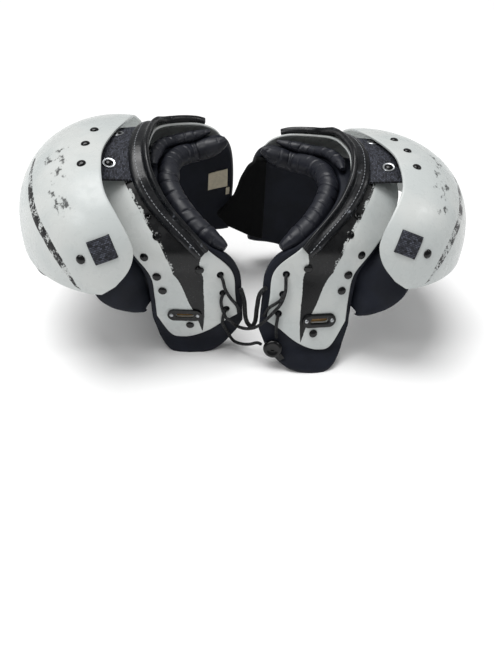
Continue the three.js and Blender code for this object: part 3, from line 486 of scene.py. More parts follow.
def on_body(place, across, offset):
    """A point of the shell pushed out by an offset."""
    return body_point(place, across) + body_normal(place, across) * offset


def hem_sag(place, across, shape, drop):
    """How far a hem hangs below the shell's end sections."""
    from_end = min(place, LAST_SECTION - place)
    fade = max(0, 1 - from_end / HEM_REACH) ** 2
    column = shape["chest" if place < LAST_SECTION / 2 else "back"]
    return drop * fade * through(column, clamp(across) * (len(column) - 1))


def on_plate(place, across, offset):
    """A point on the plate, at an offset from its outer face."""
    point = on_body(place, across, offset)
    point.z -= hem_sag(place, across, PLATE_HEM, PLATE_HEM_DROP)
    return point


def plate_normal(place, across):
    """The way out of the plate, its hems included."""
    step = 0.02
    along = on_plate(place + step, across, 0) - on_plate(place - step, across, 0)
    over = on_plate(place, across + step, 0) - on_plate(place, across - step, 0)
    return over.cross(along).normalized()


def pad_point(place, share, depth):
    """A point of the body pad, at a depth under its upper face."""
    chord = body_section(place)[1].length
    high = smooth(2.2, 4, place) * (1 - smooth(10.5, 12, place))
    margin = mix(PAD_CHEST_MARGIN, PAD_NECK_MARGIN, high)
    column = share * (PLATE_COLUMNS + 2)
    beyond_neck = max(0, 1 - column) * margin / chord
    beyond_arm = max(0, column - PLATE_COLUMNS - 1) * PAD_ARM_MARGIN / chord
    across = clamp((column - 1) / PLATE_COLUMNS) - beyond_neck + beyond_arm
    arch = ARCH_GAP * smooth(2.4, 6, place) * (1 - smooth(8.8, 12, place))
    offset = -PLATE_WALL - GAP * 2 - arch * (1 - 0.45 * share) - depth
    point = on_body(place, across, offset)
    point.z -= hem_sag(place, share, PAD_HEM, PAD_HEM_DROP)
    flare = PAD_HEM_FLARE * smooth(-PAD_HEM_FLARE_HEIGHT, 0, -point.z)
    point.y += math.copysign(flare, point.y)
    return point


def settle(point, side):
    """Where a point of the left half comes to lie on one side, as the pad stands by itself."""
    y, z = point.y - TIP_Y, point.z - TIP_Z
    turn = -side * math.radians(TIP_TURN)
    low = min(max((SWING_TOP - point.z) / SWING_DROP, 0), 1.3) ** 1.5
    swing = side * CHEST_SWING * low * smooth(0, SWING_FRONT, -point.y)
    return Vector((
        side * point.x,
        y * math.cos(turn) - z * math.sin(turn) + TIP_Y - swing,
        y * math.sin(turn) + z * math.cos(turn) + TIP_Z,
    ))


def to_frame(point):
    """A settled point in metres, in the frame that every piece shares."""
    return Vector((point.x, point.y + FRAME_SHIFT, point.z)) * MM


CAP_CENTRE = Vector((SHELL_HALF_WIDTH - CAP_INSET, 0, SHELL_HEIGHT + CAP_ABOVE_SHELL - CAP_RISE))


def cap_direction(turn, rise):
    """The dome's direction at a turn and a rise in degrees."""
    t, r = math.radians(turn), math.radians(rise)
    return Vector((math.cos(r) * math.sin(t), -math.cos(r) * math.cos(t), math.sin(r)))


def on_cap_along(direction, offset):
    """The dome's point along a direction, pushed out by an offset."""
    level = math.hypot(direction.x, direction.y)
    power = level**CAP_ROUNDNESS + abs(direction.z) ** CAP_ROUNDNESS
    unit = direction * power ** (-1 / CAP_ROUNDNESS)
    slope = math.hypot(unit.x, unit.y) ** (CAP_ROUNDNESS - 2)
    normal = Vector((
        unit.x * slope / CAP_HALF_WIDTH,
        unit.y * slope / CAP_HALF_LENGTH,
        math.copysign(abs(unit.z) ** (CAP_ROUNDNESS - 1), unit.z) / CAP_RISE,
    )).normalized()
    point = Vector((unit.x * CAP_HALF_WIDTH, unit.y * CAP_HALF_LENGTH, unit.z * CAP_RISE))
    return point + CAP_CENTRE + normal * offset


def on_cap(turn, rise, offset):
    """The dome's point at a turn and a rise in degrees."""
    return on_cap_along(cap_direction(turn, rise), offset)


def on_cap_top(out, along, offset):
    """The dome's point over a place given as shares of its half width and half length."""
    level = math.hypot(out, along)
    top = max(0, 1 - level**CAP_ROUNDNESS) ** (1 / CAP_ROUNDNESS)
    return on_cap_along(Vector((out, along, top)), offset)


CAP_CURVES = {
    side: [
        cap_direction(turn, rise)
        for turn, rise in zip(CAP_SECTIONS[side + "_turn"], CAP_SECTIONS[side + "_rise"])
    ]
    for side in ("rim", "edge")
}


@functools.lru_cache(maxsize=None)
def cap_edge(side, place):
    """Direction of the cap's rim or upper edge at a section number."""
    curve = CAP_CURVES[side]
    return Vector([through([d[k] for d in curve], place) for k in range(3)]).normalized()


def cap_grid_point(along, share, offset):
    """A point of the cap, a share of the way from its rim to its upper edge."""
    place = along * (len(CAP_CURVES["rim"]) - 1)
    rim, edge = cap_edge("rim", place), cap_edge("edge", place)
    angle = rim.angle(edge)
    direction = rim * math.sin((1 - share) * angle) + edge * math.sin(share * angle)
    return on_cap_along(direction / math.sin(angle), offset)


def strap_frame():
    """Middle of the cap's strap and the directions along and across it."""
    origin = on_cap(STRAP_TURN, STRAP_RISE, 0)
    normal = (origin - on_cap(STRAP_TURN, STRAP_RISE, -1)).normalized()
    level = Vector((0, 0, 1)).cross(normal).normalized()
    along = Matrix.Rotation(math.radians(STRAP_TWIST), 3, normal) @ level
    return origin, along, normal.cross(along)


STRAP_ORIGIN, STRAP_ALONG, STRAP_ACROSS = strap_frame()


def on_strap(along, across, offset):
    """A point of the cap, in millimetres along and across its strap."""
    local = STRAP_ORIGIN + STRAP_ALONG * along + STRAP_ACROSS * across - CAP_CENTRE
    scaled = Vector((local.x / CAP_HALF_WIDTH, local.y / CAP_HALF_LENGTH, local.z / CAP_RISE))
    return on_cap_along(scaled.normalized(), offset)


def web_point(along, share, lift):
    """A point of the shoulder web, from under the rail to the cap."""
    place = mix(WEB_FRONT, WEB_BACK, along)
    chord = body_section(place)[1].length
    leaving = on_plate(place, RAIL_WIDTH / chord, GAP)
    if share < WEB_TUCK_SHARE:
        start = on_plate(place, (RAIL_WIDTH - WEB_TUCK) / chord, GAP)
        point = start.lerp(leaving, share / WEB_TUCK_SHARE)
    else:
        offset = -CAP_WALL - FACET_ROOM - WEB_THICKNESS - GAP
        out = WEB_END_BEYOND_CAP_CENTRE / CAP_HALF_WIDTH
        end = on_cap_top(out, mix(WEB_CAP_FRONT, WEB_CAP_BACK, along), offset)
        point = leaving.lerp(end, (share - WEB_TUCK_SHARE) / (1 - WEB_TUCK_SHARE))
    point.z += lift
    return point


def rail_lift(place):
    """Height of the rail's underside over the plate, more where the web tucks under it."""
    front = smooth(WEB_FRONT - 0.7, WEB_FRONT, place)
    back = 1 - smooth(WEB_BACK, WEB_BACK + 0.7, place)
    return GAP + (WEB_THICKNESS + GAP) * front * back


def square_to_edge(place, distance):
    """Section and share across at a distance square to the neck edge."""
    step = 0.05
    run = (body_edge("inner", place + step) - body_edge("inner", place - step)) / (2 * step)
    chord = body_section(place)[1]
    cosine = run.dot(chord) / (run.length * chord.length)
    sine = math.sqrt(1 - cosine * cosine)
    return place - distance * cosine / (sine * run.length), distance / (sine * chord.length)


def on_rail(place, across, rise):
    """A point over the rail's section, as shares of its width and height."""
    width = RAIL_WIDTH * mix(RAIL_FRONT_TAPER, 1, smooth(RAIL_FRONT, 5, place))
    section, share = square_to_edge(place, across * width)
    return on_plate(section, share, rail_lift(section) + rise * RAIL_HEIGHT)


def pad_neck_edge(place, depth, inset):
    """A point beyond the pad's neck edge."""
    edge = pad_point(place, 0, depth)
    return edge + (edge - pad_point(place, 0.1, depth)).normalized() * inset


def side_pad_point(along, share, offset):
    """A point of the side flap."""
    place = along * (len(SIDE_PAD_SECTIONS["section"]) - 1)
    section = through(SIDE_PAD_SECTIONS["section"], place)
    edge = pad_point(section, 1, PAD_THICKNESS * 0.3)
    beside = pad_point(section, 0.9, PAD_THICKNESS * 0.3)
    start = edge + (edge - beside).normalized() * (GAP * 3 + SIDE_PAD_THICKNESS * 0.76)
    reach = Vector((
        through(SIDE_PAD_SECTIONS["out_x"], place) * SHELL_HALF_WIDTH,
        through(SIDE_PAD_SECTIONS["out_y"], place) * SHELL_FRONT,
        through(SIDE_PAD_SECTIONS["out_z"], place) * SHELL_HEIGHT,
    ))
    normal = Vector((0.45, -0.85, 0.1)).normalized()
    return start + reach * share + normal * (4 * share * (1 - share) * SIDE_PAD_THICKNESS - offset)


def cap_pad_point(along, share, offset):
    """A point of the foam inside the cap."""
    bow = math.sin(math.pi * along)
    rise = mix(1 - 8 * bow, 8 + 12 * bow, share)
    return on_cap(mix(*CAP_PAD_TURNS, along), rise, offset)


@functools.lru_cache(maxsize=None)
def back_span(place, offset):
    """Edge and middle of a back pad's inner face, and the space between the two edges."""
    edge = pad_point(place, 0, PAD_THICKNESS + offset)
    middle = pad_point(place, 0.5, PAD_THICKNESS + offset)
    return edge, middle, settle(edge, -1), settle(edge, 1)


def back_face(x, place, offset):
    """Inner face of the back pads as they lie, at a distance from the middle."""
    edge, middle, near, far = back_span(place, offset)
    share = 0.5 * (abs(x) - edge.x) / (middle.x - edge.x)
    if share > 0:
        return settle(pad_point(place, share, PAD_THICKNESS + offset), math.copysign(1, x))
    return near.lerp(far, (x - near.x) / (-2 * near.x))


def overlap_point(along, share, depth):
    """A point of the leaf over the middle of the back."""
    place = mix(OVERLAP_TOP, OVERLAP_LOW, along)
    reach = through(OVERLAP_EDGE["reach"], along * (len(OVERLAP_EDGE["reach"]) - 1))
    x = mix(-reach * OVERLAP_REACH, OVERLAP_ROOT, share)
    return back_face(x, place, GAP * 5 + depth)


def stop_point(stop):
    """Where a lace passes: on the plate, on the pad or in the air."""
    kind, a, b, c, side = stop
    if kind == "plate":
        return settle(on_plate(a, b, c * LACE_DIAMETER), side)
    if kind == "pad":
        return settle(pad_point(a, b, -c * LACE_DIAMETER), side)
    return Vector((a * SHELL_HALF_WIDTH, b * SHELL_FRONT, c * SHELL_HEIGHT))


def curve_through(points, steps):
    """Points at equal steps of a smooth curve, whose spans bend with their own lengths."""
    last = len(points) - 1
    ends = [points[0] * 2 - points[1], *points, points[-1] * 2 - points[-2]]
    found = []
    for n in range(steps + 1):
        place = last * n / steps
        span = min(int(place), last - 1)
        t = place - span
        p = ends[span : span + 4]
        d = [math.sqrt((p[k + 1] - p[k]).length) for k in range(3)]
        lead = (p[1] - p[0]) / d[0] - (p[2] - p[0]) / (d[0] + d[1]) + (p[2] - p[1]) / d[1]
        tail = (p[2] - p[1]) / d[1] - (p[3] - p[1]) / (d[1] + d[2]) + (p[3] - p[2]) / d[2]
        lead, tail = lead * d[1], tail * d[1]
        square = (p[2] - p[1]) * 3 - lead * 2 - tail
        cube = (p[1] - p[2]) * 2 + lead + tail
        found.append(p[1] + lead * t + square * t * t + cube * t * t * t)
    return found


def even(points, steps):
    """The same run of points taken at equal distances."""
    run = [0]
    for a, b in zip(points, points[1:]):
        run.append(run[-1] + (b - a).length)
    found, k = [], 0
    for n in range(steps + 1):
        want = run[-1] * n / steps
        while k < len(run) - 2 and run[k + 1] < want:
            k += 1
        found.append(points[k].lerp(points[k + 1], clamp((want - run[k]) / (run[k + 1] - run[k]))))
    return found, run[-1]


def ripple(x, y, seed):
    """Soft noise from -1 to 1."""
    return noise.noise(Vector((x, y, seed)))


def laid(bm, along, across, layers, place, size=(100, 100)):
    """A closed slab: a grid extruded through its thickness and laid out by place(i, j, s).

    i and j go from 0 to 1 along and across it and s from its outer face to its inner one. The
    UV map holds i and j in tenths of a metre of the given size in millimetres.
    """
    bmesh.ops.create_grid(bm, x_segments=along, y_segments=across, size=0.5)
    top = bm.faces[:]
    for layer in range(1, layers + 1):
        grown = bmesh.ops.extrude_face_region(bm, geom=top)["geom"]
        if layer > 1:
            bmesh.ops.delete(bm, geom=top, context="FACES")
        top = [item for item in grown if isinstance(item, bmesh.types.BMFace)]
        for item in grown:
            if isinstance(item, bmesh.types.BMVert):
                item.co.z = layer / layers
    set_out(bm, place, size)


def rounded(i, j, s, run, draw):
    """A slab's place drawn in at its rims to round them, and the share of its depth there.

    run and draw are the shares of its length and width that the rounding takes.
    """
    flat = 1 - math.sin(math.pi * s)
    run, draw = run * flat, draw * flat
    return run + (1 - 2 * run) * i, draw + (1 - 2 * draw) * j, (1 - math.cos(math.pi * s)) / 2


def set_out(bm, place, size):
    """Writes the UV map of a shape's points from their shares, then lays them out."""
    uv = bm.loops.layers.uv.verify()
    for vert in bm.verts:
        for loop in vert.link_loops:
            loop[uv].uv = ((vert.co.x + 0.5) * size[0] / 100, (vert.co.y + 0.5) * size[1] / 100)
    for vert in bm.verts:
        vert.co = place(vert.co.x + 0.5, vert.co.y + 0.5, vert.co.z)


def tube(bm, steps, sides, place, size):
    """A closed tube laid out by place(i, j), with i along it and j once round it."""
    bmesh.ops.create_grid(bm, x_segments=steps, y_segments=sides, size=0.5)
    set_out(bm, lambda i, j, _: place(i, j), size)
    bmesh.ops.remove_doubles(bm, verts=bm.verts, dist=1e-6)
    rims = [edge for edge in bm.edges if edge.is_boundary]
    bmesh.ops.holes_fill(bm, edges=rims, sides=0)


def swept(bm, points, steps, sides, radius, up, size):
    """A closed tube along points. radius(i, j) gives its two half widths there."""
    centres, length = even(points, steps)

    def place(i, j):
        k = round(i * steps)
        axis = (centres[min(k + 1, steps)] - centres[max(k - 1, 0)]).normalized()
        side = axis.cross(up).normalized()
        wide, high = radius(i, j, length)
        turn = 2 * math.pi * j
        return to_frame(
            centres[k] + side * (wide * math.cos(turn)) + axis.cross(side) * (high * math.sin(turn))
        )

    tube(bm, steps, sides, place, (length, size))
    return centres, length


def turned(bm, profile, steps, place):
    """A body turned about its own Z axis from a profile of (radius, height); its faces."""
    known_verts, known_faces = set(bm.verts), set(bm.faces)
    verts = [bm.verts.new((radius, 0, height)) for radius, height in profile]
    edges = [bm.edges.new(pair) for pair in zip(verts, verts[1:])]
    bmesh.ops.spin(
        bm,
        geom=verts + edges,
        cent=(0, 0, 0),
        axis=(0, 0, 1),
        angle=2 * math.pi,
        steps=steps,
        use_merge=True,
    )
    fresh = [vert for vert in bm.verts if vert not in known_verts]
    bmesh.ops.remove_doubles(bm, verts=fresh, dist=1e-4)
    for vert in [vert for vert in bm.verts if vert not in known_verts]:
        vert.co = place(vert.co)
    return [face for face in bm.faces if face not in known_faces]


def seat(point, normal, hint=Vector((1, 0, 0))):
    """The matrix that stands a shape's Z axis on a point along a normal."""
    x = (hint - normal * hint.dot(normal)).normalized()
    y = normal.cross(x)
    return Matrix(((x.x, y.x, normal.x, point.x), (x.y, y.y, normal.y, point.y),
                   (x.z, y.z, normal.z, point.z), (0, 0, 0, 1)))


def seated(matrix, side):
    """A function that puts a shape's own point where it lies on one side."""
    return lambda co: to_frame(settle(matrix @ co, side))


def make_mesh(name, bm):
    """A linked object of a finished shape, with its faces pointing out."""
    bmesh.ops.recalc_face_normals(bm, faces=bm.faces)
    if bm.calc_volume(signed=True) < 0:
        bmesh.ops.reverse_faces(bm, faces=bm.faces)
    mesh = bpy.data.meshes.new(name)
    bm.to_mesh(mesh)
    bm.free()
    obj = bpy.data.objects.new(name, mesh)
    bpy.context.scene.collection.objects.link(obj)
    return obj


def finish_piece(obj, materials, nodes, sharp=40):
    """Smooths a piece, gives it its materials and lets it stand for its frame nodes."""
    mesh = obj.data
    for polygon in mesh.polygons:
        polygon.use_smooth = True
    mesh.set_sharp_from_angle(angle=math.radians(sharp))
    for material in materials:
        mesh.materials.append(material)
    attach(obj, "root")
    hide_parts(*nodes)
    return obj


def cut_out(obj, tools):
    """Cuts closed shapes out of a piece and removes them."""
    for tool in tools:
        cut = obj.modifiers.new("cut", "BOOLEAN")
        cut.operation = "DIFFERENCE"
        cut.solver = "EXACT"
        cut.object = tool
    bpy.context.view_layer.update()
    graph = bpy.context.evaluated_depsgraph_get()
    whole = obj.data
    obj.data = bpy.data.meshes.new_from_object(obj.evaluated_get(graph))
    obj.modifiers.clear()
    bpy.data.meshes.remove(whole)
    for tool in tools:
        mesh = tool.data
        bpy.data.objects.remove(tool)
        bpy.data.meshes.remove(mesh)


def linear(hex_colour):
    """The linear colour of an sRGB hex value, with full alpha."""
    parts = [int(hex_colour[k : k + 2], 16) / 255 for k in (1, 3, 5)]
    return (*(p / 12.92 if p <= 0.04045 else ((p + 0.055) / 1.055) ** 2.4 for p in parts), 1)


def join(tree, made, inputs):
    """Gives a node's inputs their values and links."""
    for name, value in inputs.items():
        if isinstance(value, bpy.types.NodeSocket):
            tree.links.new(value, made.inputs[name])
        else:
            made.inputs[name].default_value = value


def node(tree, kind, inputs, output=0, **settings):
    """Adds a shader node with its settings, values and links, and gives one of its outputs."""
    made = tree.nodes.new("ShaderNode" + kind)
    for name, value in settings.items():
        setattr(made, name, value)
    join(tree, made, inputs)
    return made.outputs[output]


def new_material(name, coordinates="Object"):
    """A material with its node tree, its shader and the coordinates that it reads."""
    material = bpy.data.materials.new(name)
    material.use_nodes = True
    tree = material.node_tree
    return material, tree, tree.nodes["Principled BSDF"], node(tree, "TexCoord", {}, coordinates)


def per_metre(size):
    """The scale of a pattern on coordinates in metres, from a real size in millimetres."""
    return 1000 / size


def moulded_polyethylene(colours):
    """High-density polyethylene, injection moulded, with black ink printed on it.

    The mould gives it a waxy white with a soft, broad shine that handling has cleaned
    unevenly. The ink is thin and rubbed through in small chips. The Print map holds how far
    inside a stripe a point lies, in tenths of a metre. Its second number is the share of
    smudged ink that a cap may hold or, below zero, how far the plate's point lies from the
    stripe's worn edge.
    """
    material, tree, shader, place = new_material("moulded_polyethylene")
    printed = node(tree, "UVMap", {}, uv_map="Print")
    inside = node(tree, "SeparateXYZ", {0: printed})
    beside = inside.node.outputs["Y"]

    # Chips of ink about 2 mm across, in patches of about 14 mm near the stripe's worn edge.
    chips = node(tree, "TexNoise", {
        "Vector": place, "Scale": per_metre(2.2), "Detail": 5, "Roughness": 0.7,
    })
    patches = node(tree, "TexNoise", {
        "Vector": place, "Scale": per_metre(14), "Detail": 4, "Roughness": 0.55,
    })
    ragged = node(tree, "Math", {0: chips, 1: 0.02}, operation="MULTIPLY")
    edge = node(tree, "Math", {0: inside, 1: ragged}, operation="ADD")
    printed_here = node(tree, "MapRange", {
        "Value": edge, "From Min": 0.0095, "From Max": 0.0125,
    }, interpolation_type="SMOOTHSTEP")
    near_edge = node(tree, "MapRange", {
        "Value": beside, "From Min": -0.09, "From Max": -0.02,
    }, interpolation_type="SMOOTHSTEP")
    broken = node(tree, "Math", {0: chips, 1: patches}, operation="MULTIPLY")
    worn = node(tree, "Math", {0: broken, 1: near_edge}, operation="MULTIPLY")
    kept = node(tree, "MapRange", {
        "Value": worn, "From Min": 0.24, "From Max": 0.29, "To Min": 1.0, "To Max": 0.08,
    }, interpolation_type="SMOOTHSTEP")
    stripe = node(tree, "Math", {0: printed_here, 1: kept}, operation="MULTIPLY")

    # Smudges of rubbed ink, drawn out along the cap.
    streaks = node(tree, "Mapping", {0: place, "Scale": (1.0, 0.55, 1.0)})
    flecks = node(tree, "TexNoise", {
        "Vector": streaks, "Scale": per_metre(5), "Detail": 6, "Roughness": 0.72,
    })
    clouds = node(tree, "TexNoise", {
        "Vector": place, "Scale": per_metre(17), "Detail": 2, "Roughness": 0.55,
    })
    rubbed = node(tree, "Math", {0: flecks, 1: clouds}, operation="MULTIPLY")
    on_cap_only = node(tree, "Math", {0: rubbed, 1: beside}, operation="MULTIPLY")
    smear = node(tree, "MapRange", {
        "Value": on_cap_only, "From Min": 0.27, "From Max": 0.35, "To Max": 0.85,
    }, interpolation_type="SMOOTHSTEP")
    ink = node(tree, "Math", {0: stripe, 1: smear}, operation="MAXIMUM")

    haze = node(tree, "TexNoise", {
        "Vector": place, "Scale": per_metre(60), "Detail": 2, "Roughness": 0.55,
    })
    cloudy = node(tree, "MapRange", {
        "Value": haze, "From Min": 0.35, "From Max": 0.65,
    }, interpolation_type="SMOOTHSTEP")
    ground = node(tree, "Mix", {
        0: cloudy, 6: colours.shell, 7: colours.shell_shade,
    }, 2, data_type="RGBA")
    handled = node(tree, "TexNoise", {
        "Vector": place, "Scale": per_metre(9), "Detail": 4, "Roughness": 0.55,
    })
    waves = node(tree, "TexNoise", {
        "Vector": place, "Scale": per_metre(30), "Detail": 2, "Roughness": 0.55,
    })
    join(tree, shader, {
        "Base Color": node(tree, "Mix", {0: ink, 6: ground, 7: colours.ink}, 2, data_type="RGBA"),
        "Roughness": node(tree, "MapRange", {
            "Value": handled, "From Min": 0.4, "From Max": 0.7, "To Min": 0.26, "To Max": 0.42,
        }, interpolation_type="SMOOTHSTEP"),
        "Normal": node(tree, "Bump", {"Height": waves, "Strength": 1.0, "Distance": 0.25 * MM}),
        "IOR": 1.38,
    })
    return material


def coated_vinyl(name, colour, pale, scuffing, rough):
    """PVC-coated cloth, calendered and sewn.

    The coating is near black with a wet shine over a fine grain, and rubs pale where it is
    knocked. The grain is finer than the render can show, so it is drawn at 1.4 mm. scuffing
    moves how much of the coating is rubbed.
    """
    material, tree, shader, place = new_material(name)
    grain = node(tree, "TexNoise", {
        "Vector": place, "Scale": per_metre(1.4), "Detail": 2, "Roughness": 0.55,
    })
    patches = node(tree, "TexNoise", {
        "Vector": place, "Scale": per_metre(16), "Detail": 5, "Roughness": 0.65,
    })
    flecks = node(tree, "TexNoise", {
        "Vector": place, "Scale": per_metre(3.2), "Detail": 5, "Roughness": 0.7,
    })
    rubbed = node(tree, "Math", {0: patches, 1: flecks}, operation="MULTIPLY")
    scuffs = node(tree, "MapRange", {
        "Value": rubbed, "From Min": 0.40 - 0.12 * scuffing, "From Max": 0.50 - 0.12 * scuffing,
        "To Max": 0.75,
    }, interpolation_type="SMOOTHSTEP")
    join(tree, shader, {
        "Base Color": node(tree, "Mix", {0: scuffs, 6: colour, 7: pale}, 2, data_type="RGBA"),
        "Roughness": node(tree, "MapRange", {
            "Value": patches, "From Min": 0.3, "From Max": 0.7,
            "To Min": rough - 0.08, "To Max": rough + 0.1,
        }, interpolation_type="SMOOTHSTEP"),
        "Normal": node(tree, "Bump", {"Height": grain, "Strength": 1.0, "Distance": 0.12 * MM}),
        "IOR": 1.42,
    })
    return material


def rail_vinyl(colours):
    """The rails' vinyl: stretched tight over a stiff core, so it shines and scuffs most."""
    return coated_vinyl("scuffed_vinyl", colours.vinyl, colours.scuff, 0.55, 0.3)


def roll_vinyl(colours):
    """The rolls' vinyl: loose over soft foam, a little greyer and duller, and hardly rubbed."""
    return coated_vinyl("soft_vinyl", colours.roll, colours.scuff, -0.6, 0.42)


def nylon(name, colour, pale, rough):
    """Nylon cloth, tightly woven: dark and nearly smooth, with a faint pale bloom of wear.

    Its threads are finer than the render can show, so its grain is drawn at about 1 mm.
    """
    material, tree, shader, place = new_material(name)
    wear = node(tree, "TexNoise", {
        "Vector": place, "Scale": per_metre(38), "Detail": 4, "Roughness": 0.55,
    })
    bloom = node(tree, "MapRange", {
        "Value": wear, "From Min": 0.35, "From Max": 0.75,
    }, interpolation_type="SMOOTHSTEP")
    grain = node(tree, "TexNoise", {
        "Vector": place, "Scale": per_metre(1.1), "Detail": 2, "Roughness": 0.55,
    })
    join(tree, shader, {
        "Base Color": node(tree, "Mix", {0: bloom, 6: colour, 7: pale}, 2, data_type="RGBA"),
        "Normal": node(tree, "Bump", {"Height": grain, "Strength": 1.0, "Distance": 0.1 * MM}),
        "Roughness": rough,
        "IOR": 1.3,
    })
    return material


def outer_nylon(colours):
    """The foam's outer nylon: coated, so it keeps a low sheen."""
    return nylon("nylon_cloth", colours.cloth, colours.cloth_bloom, 0.62)


def lining_nylon_and_painted_shade(colours):
    """The foam's inner nylon: brushed and without bloom, its black deepened by painted shade."""
    return nylon("nylon_lining_and_painted_shade", colours.lining_and_painted_shade, colours.lining_and_painted_shade, 0.9)


def threads(tree, pattern, height):
    """The colour and the relief of threads that cross in a brick pattern."""
    colours = node(tree, "TexBrick", {"Scale": 1.0, **pattern}, "Color", offset=0.5)
    gaps = colours.node.outputs["Fac"]
    raised = node(tree, "Math", {0: 1.0, 1: gaps}, operation="SUBTRACT")
    bump = node(tree, "Bump", {"Height": raised, "Strength": 1.0, "Distance": height * MM})
    return {"Base Color": colours, "Normal": bump}


def woven_polypropylene(colours):
    """Polypropylene webbing, woven: matt black ribs with dark gaps and a few paler crossings.

    A crossing is 3.2 mm long and 1.9 mm wide, on a map in tenths of a metre.
    """
    material, tree, shader, place = new_material("woven_polypropylene", "UV")
    crossing, row = 3.2, 1.9
    pattern = {
        "Vector": place,
        "Color1": colours.webbing,
        "Color2": colours.webbing_pale,
        "Mortar": linear("#08090B"),
        "Mortar Size": row * 0.0016,
        "Mortar Smooth": 0.7,
        "Bias": 0.0,
        "Brick Width": crossing / 100,
        "Row Height": row / 100,
    }
    join(tree, shader, {**threads(tree, pattern, row * 0.5), "Roughness": 0.7, "IOR": 1.4})
    return material


def braided_polyester(colours):
    """Polyester cord, braided over a core: slanting strands, some paler than the rest.

    A strand is 1.3 mm wide, on a map in tenths of a metre turned by half a right angle.
    """
    material, tree, shader, place = new_material("braided_polyester", "UV")
    strand = 1.3
    slanted = node(tree, "Mapping", {0: place, "Rotation": (0, 0, math.radians(45))})
    pattern = {
        "Vector": slanted,
        "Color1": colours.lace,
        "Color2": colours.fleck,
        "Mortar": linear("#060708"),
        "Mortar Size": strand * 0.0014,
        "Mortar Smooth": 0.8,
        "Bias": -0.45,
        "Brick Width": strand / 50,
        "Row Height": strand / 100,
    }
    join(tree, shader, {**threads(tree, pattern, strand * 0.4), "Roughness": 0.75, "IOR": 1.4})
    return material


def dirtied(tree, place, colour):
    """A colour with faint dirt in patches of about 4 mm."""
    patches = node(tree, "TexNoise", {
        "Vector": place, "Scale": per_metre(4), "Detail": 3, "Roughness": 0.55,
    })
    dirt = node(tree, "MapRange", {
        "Value": patches, "From Min": 0.3, "From Max": 0.7, "To Max": 0.35,
    }, interpolation_type="SMOOTHSTEP")
    dirty = (*(part * 0.6 for part in colour[:3]), 1)
    return node(tree, "Mix", {0: dirt, 6: colour, 7: dirty}, 2, data_type="RGBA")


def enamelled_steel(colours):
    """Steel, stamped and dipped in black enamel: glassy, with small sharp highlights."""
    material, tree, shader, place = new_material("enamelled_steel")
    shades = dirtied(tree, place, colours.enamel)
    join(tree, shader, {"Base Color": shades, "Roughness": 0.2, "IOR": 1.4})
    return material


def tumbled_steel(colours):
    """Steel, stamped and tumbled bright: a pale metal shine, blurred by fine scratches."""
    material, tree, shader, place = new_material("tumbled_steel")
    shades = dirtied(tree, place, colours.steel)
    join(tree, shader, {"Base Color": shades, "Roughness": 0.32, "Metallic": 1.0})
    return material


def spun_polyester(colours):
    """Polyester thread, spun: pale, matt and a little grimy."""
    material, tree, shader, place = new_material("spun_polyester")
    shades = dirtied(tree, place, colours.thread)
    join(tree, shader, {"Base Color": shades, "Roughness": 0.8, "IOR": 1.4})
    return material


def woven_cotton(colours):
    """Cotton tape, woven: cream and quite matt."""
    material, tree, shader, place = new_material("woven_cotton")
    shades = dirtied(tree, place, colours.label)
    join(tree, shader, {"Base Color": shades, "Roughness": 0.85, "IOR": 1.4})
    return material


def tanned_leather(colours):
    """Leather, tanned and left plain: tan, with a dull waxy surface."""
    material, tree, shader, place = new_material("tanned_leather")
    shades = dirtied(tree, place, colours.leather)
    join(tree, shader, {"Base Color": shades, "Roughness": 0.7, "IOR": 1.4})
    return material


def painted_board(colours):
    """Board, painted white: the floor, flat and without shine."""
    material, tree, shader, _ = new_material("painted_board")
    join(tree, shader, {"Base Color": colours.floor, "Roughness": 0.9})
    return material


FINISHES = {
    "shell": moulded_polyethylene,
    "rail": rail_vinyl,
    "roll": roll_vinyl,
    "cloth": outer_nylon,
    "lining_and_painted_shade": lining_nylon_and_painted_shade,
    "webbing": woven_polypropylene,
    "braid": braided_polyester,
    "enamel": enamelled_steel,
    "steel": tumbled_steel,
    "thread": spun_polyester,
    "label": woven_cotton,
    "leather": tanned_leather,
}


@functools.lru_cache(maxsize=None)
def finish_of(name):
    """One of the pad's materials, made once."""
    return FINISHES[name](bpy.context.scene.pad_colours)


def print_map(obj, amounts):
    """Writes the Print map of a white piece: amounts(u, v) from the shares in its UV map."""
    mesh = obj.data
    shares = mesh.uv_layers[0].data
    layer = mesh.uv_layers.new(name="Print").data
    found = {}
    for k, loop in enumerate(shares):
        key = (round(loop.uv.x, 5), round(loop.uv.y, 5))
        if key not in found:
            found[key] = amounts(*key)
        layer[k].uv = found[key]


def colour(name, about, value):
    """One colour that a user may change."""
    return FloatVectorProperty(
        name=name, description=about, subtype="COLOR", size=4, min=0, max=1, default=linear(value)
    )


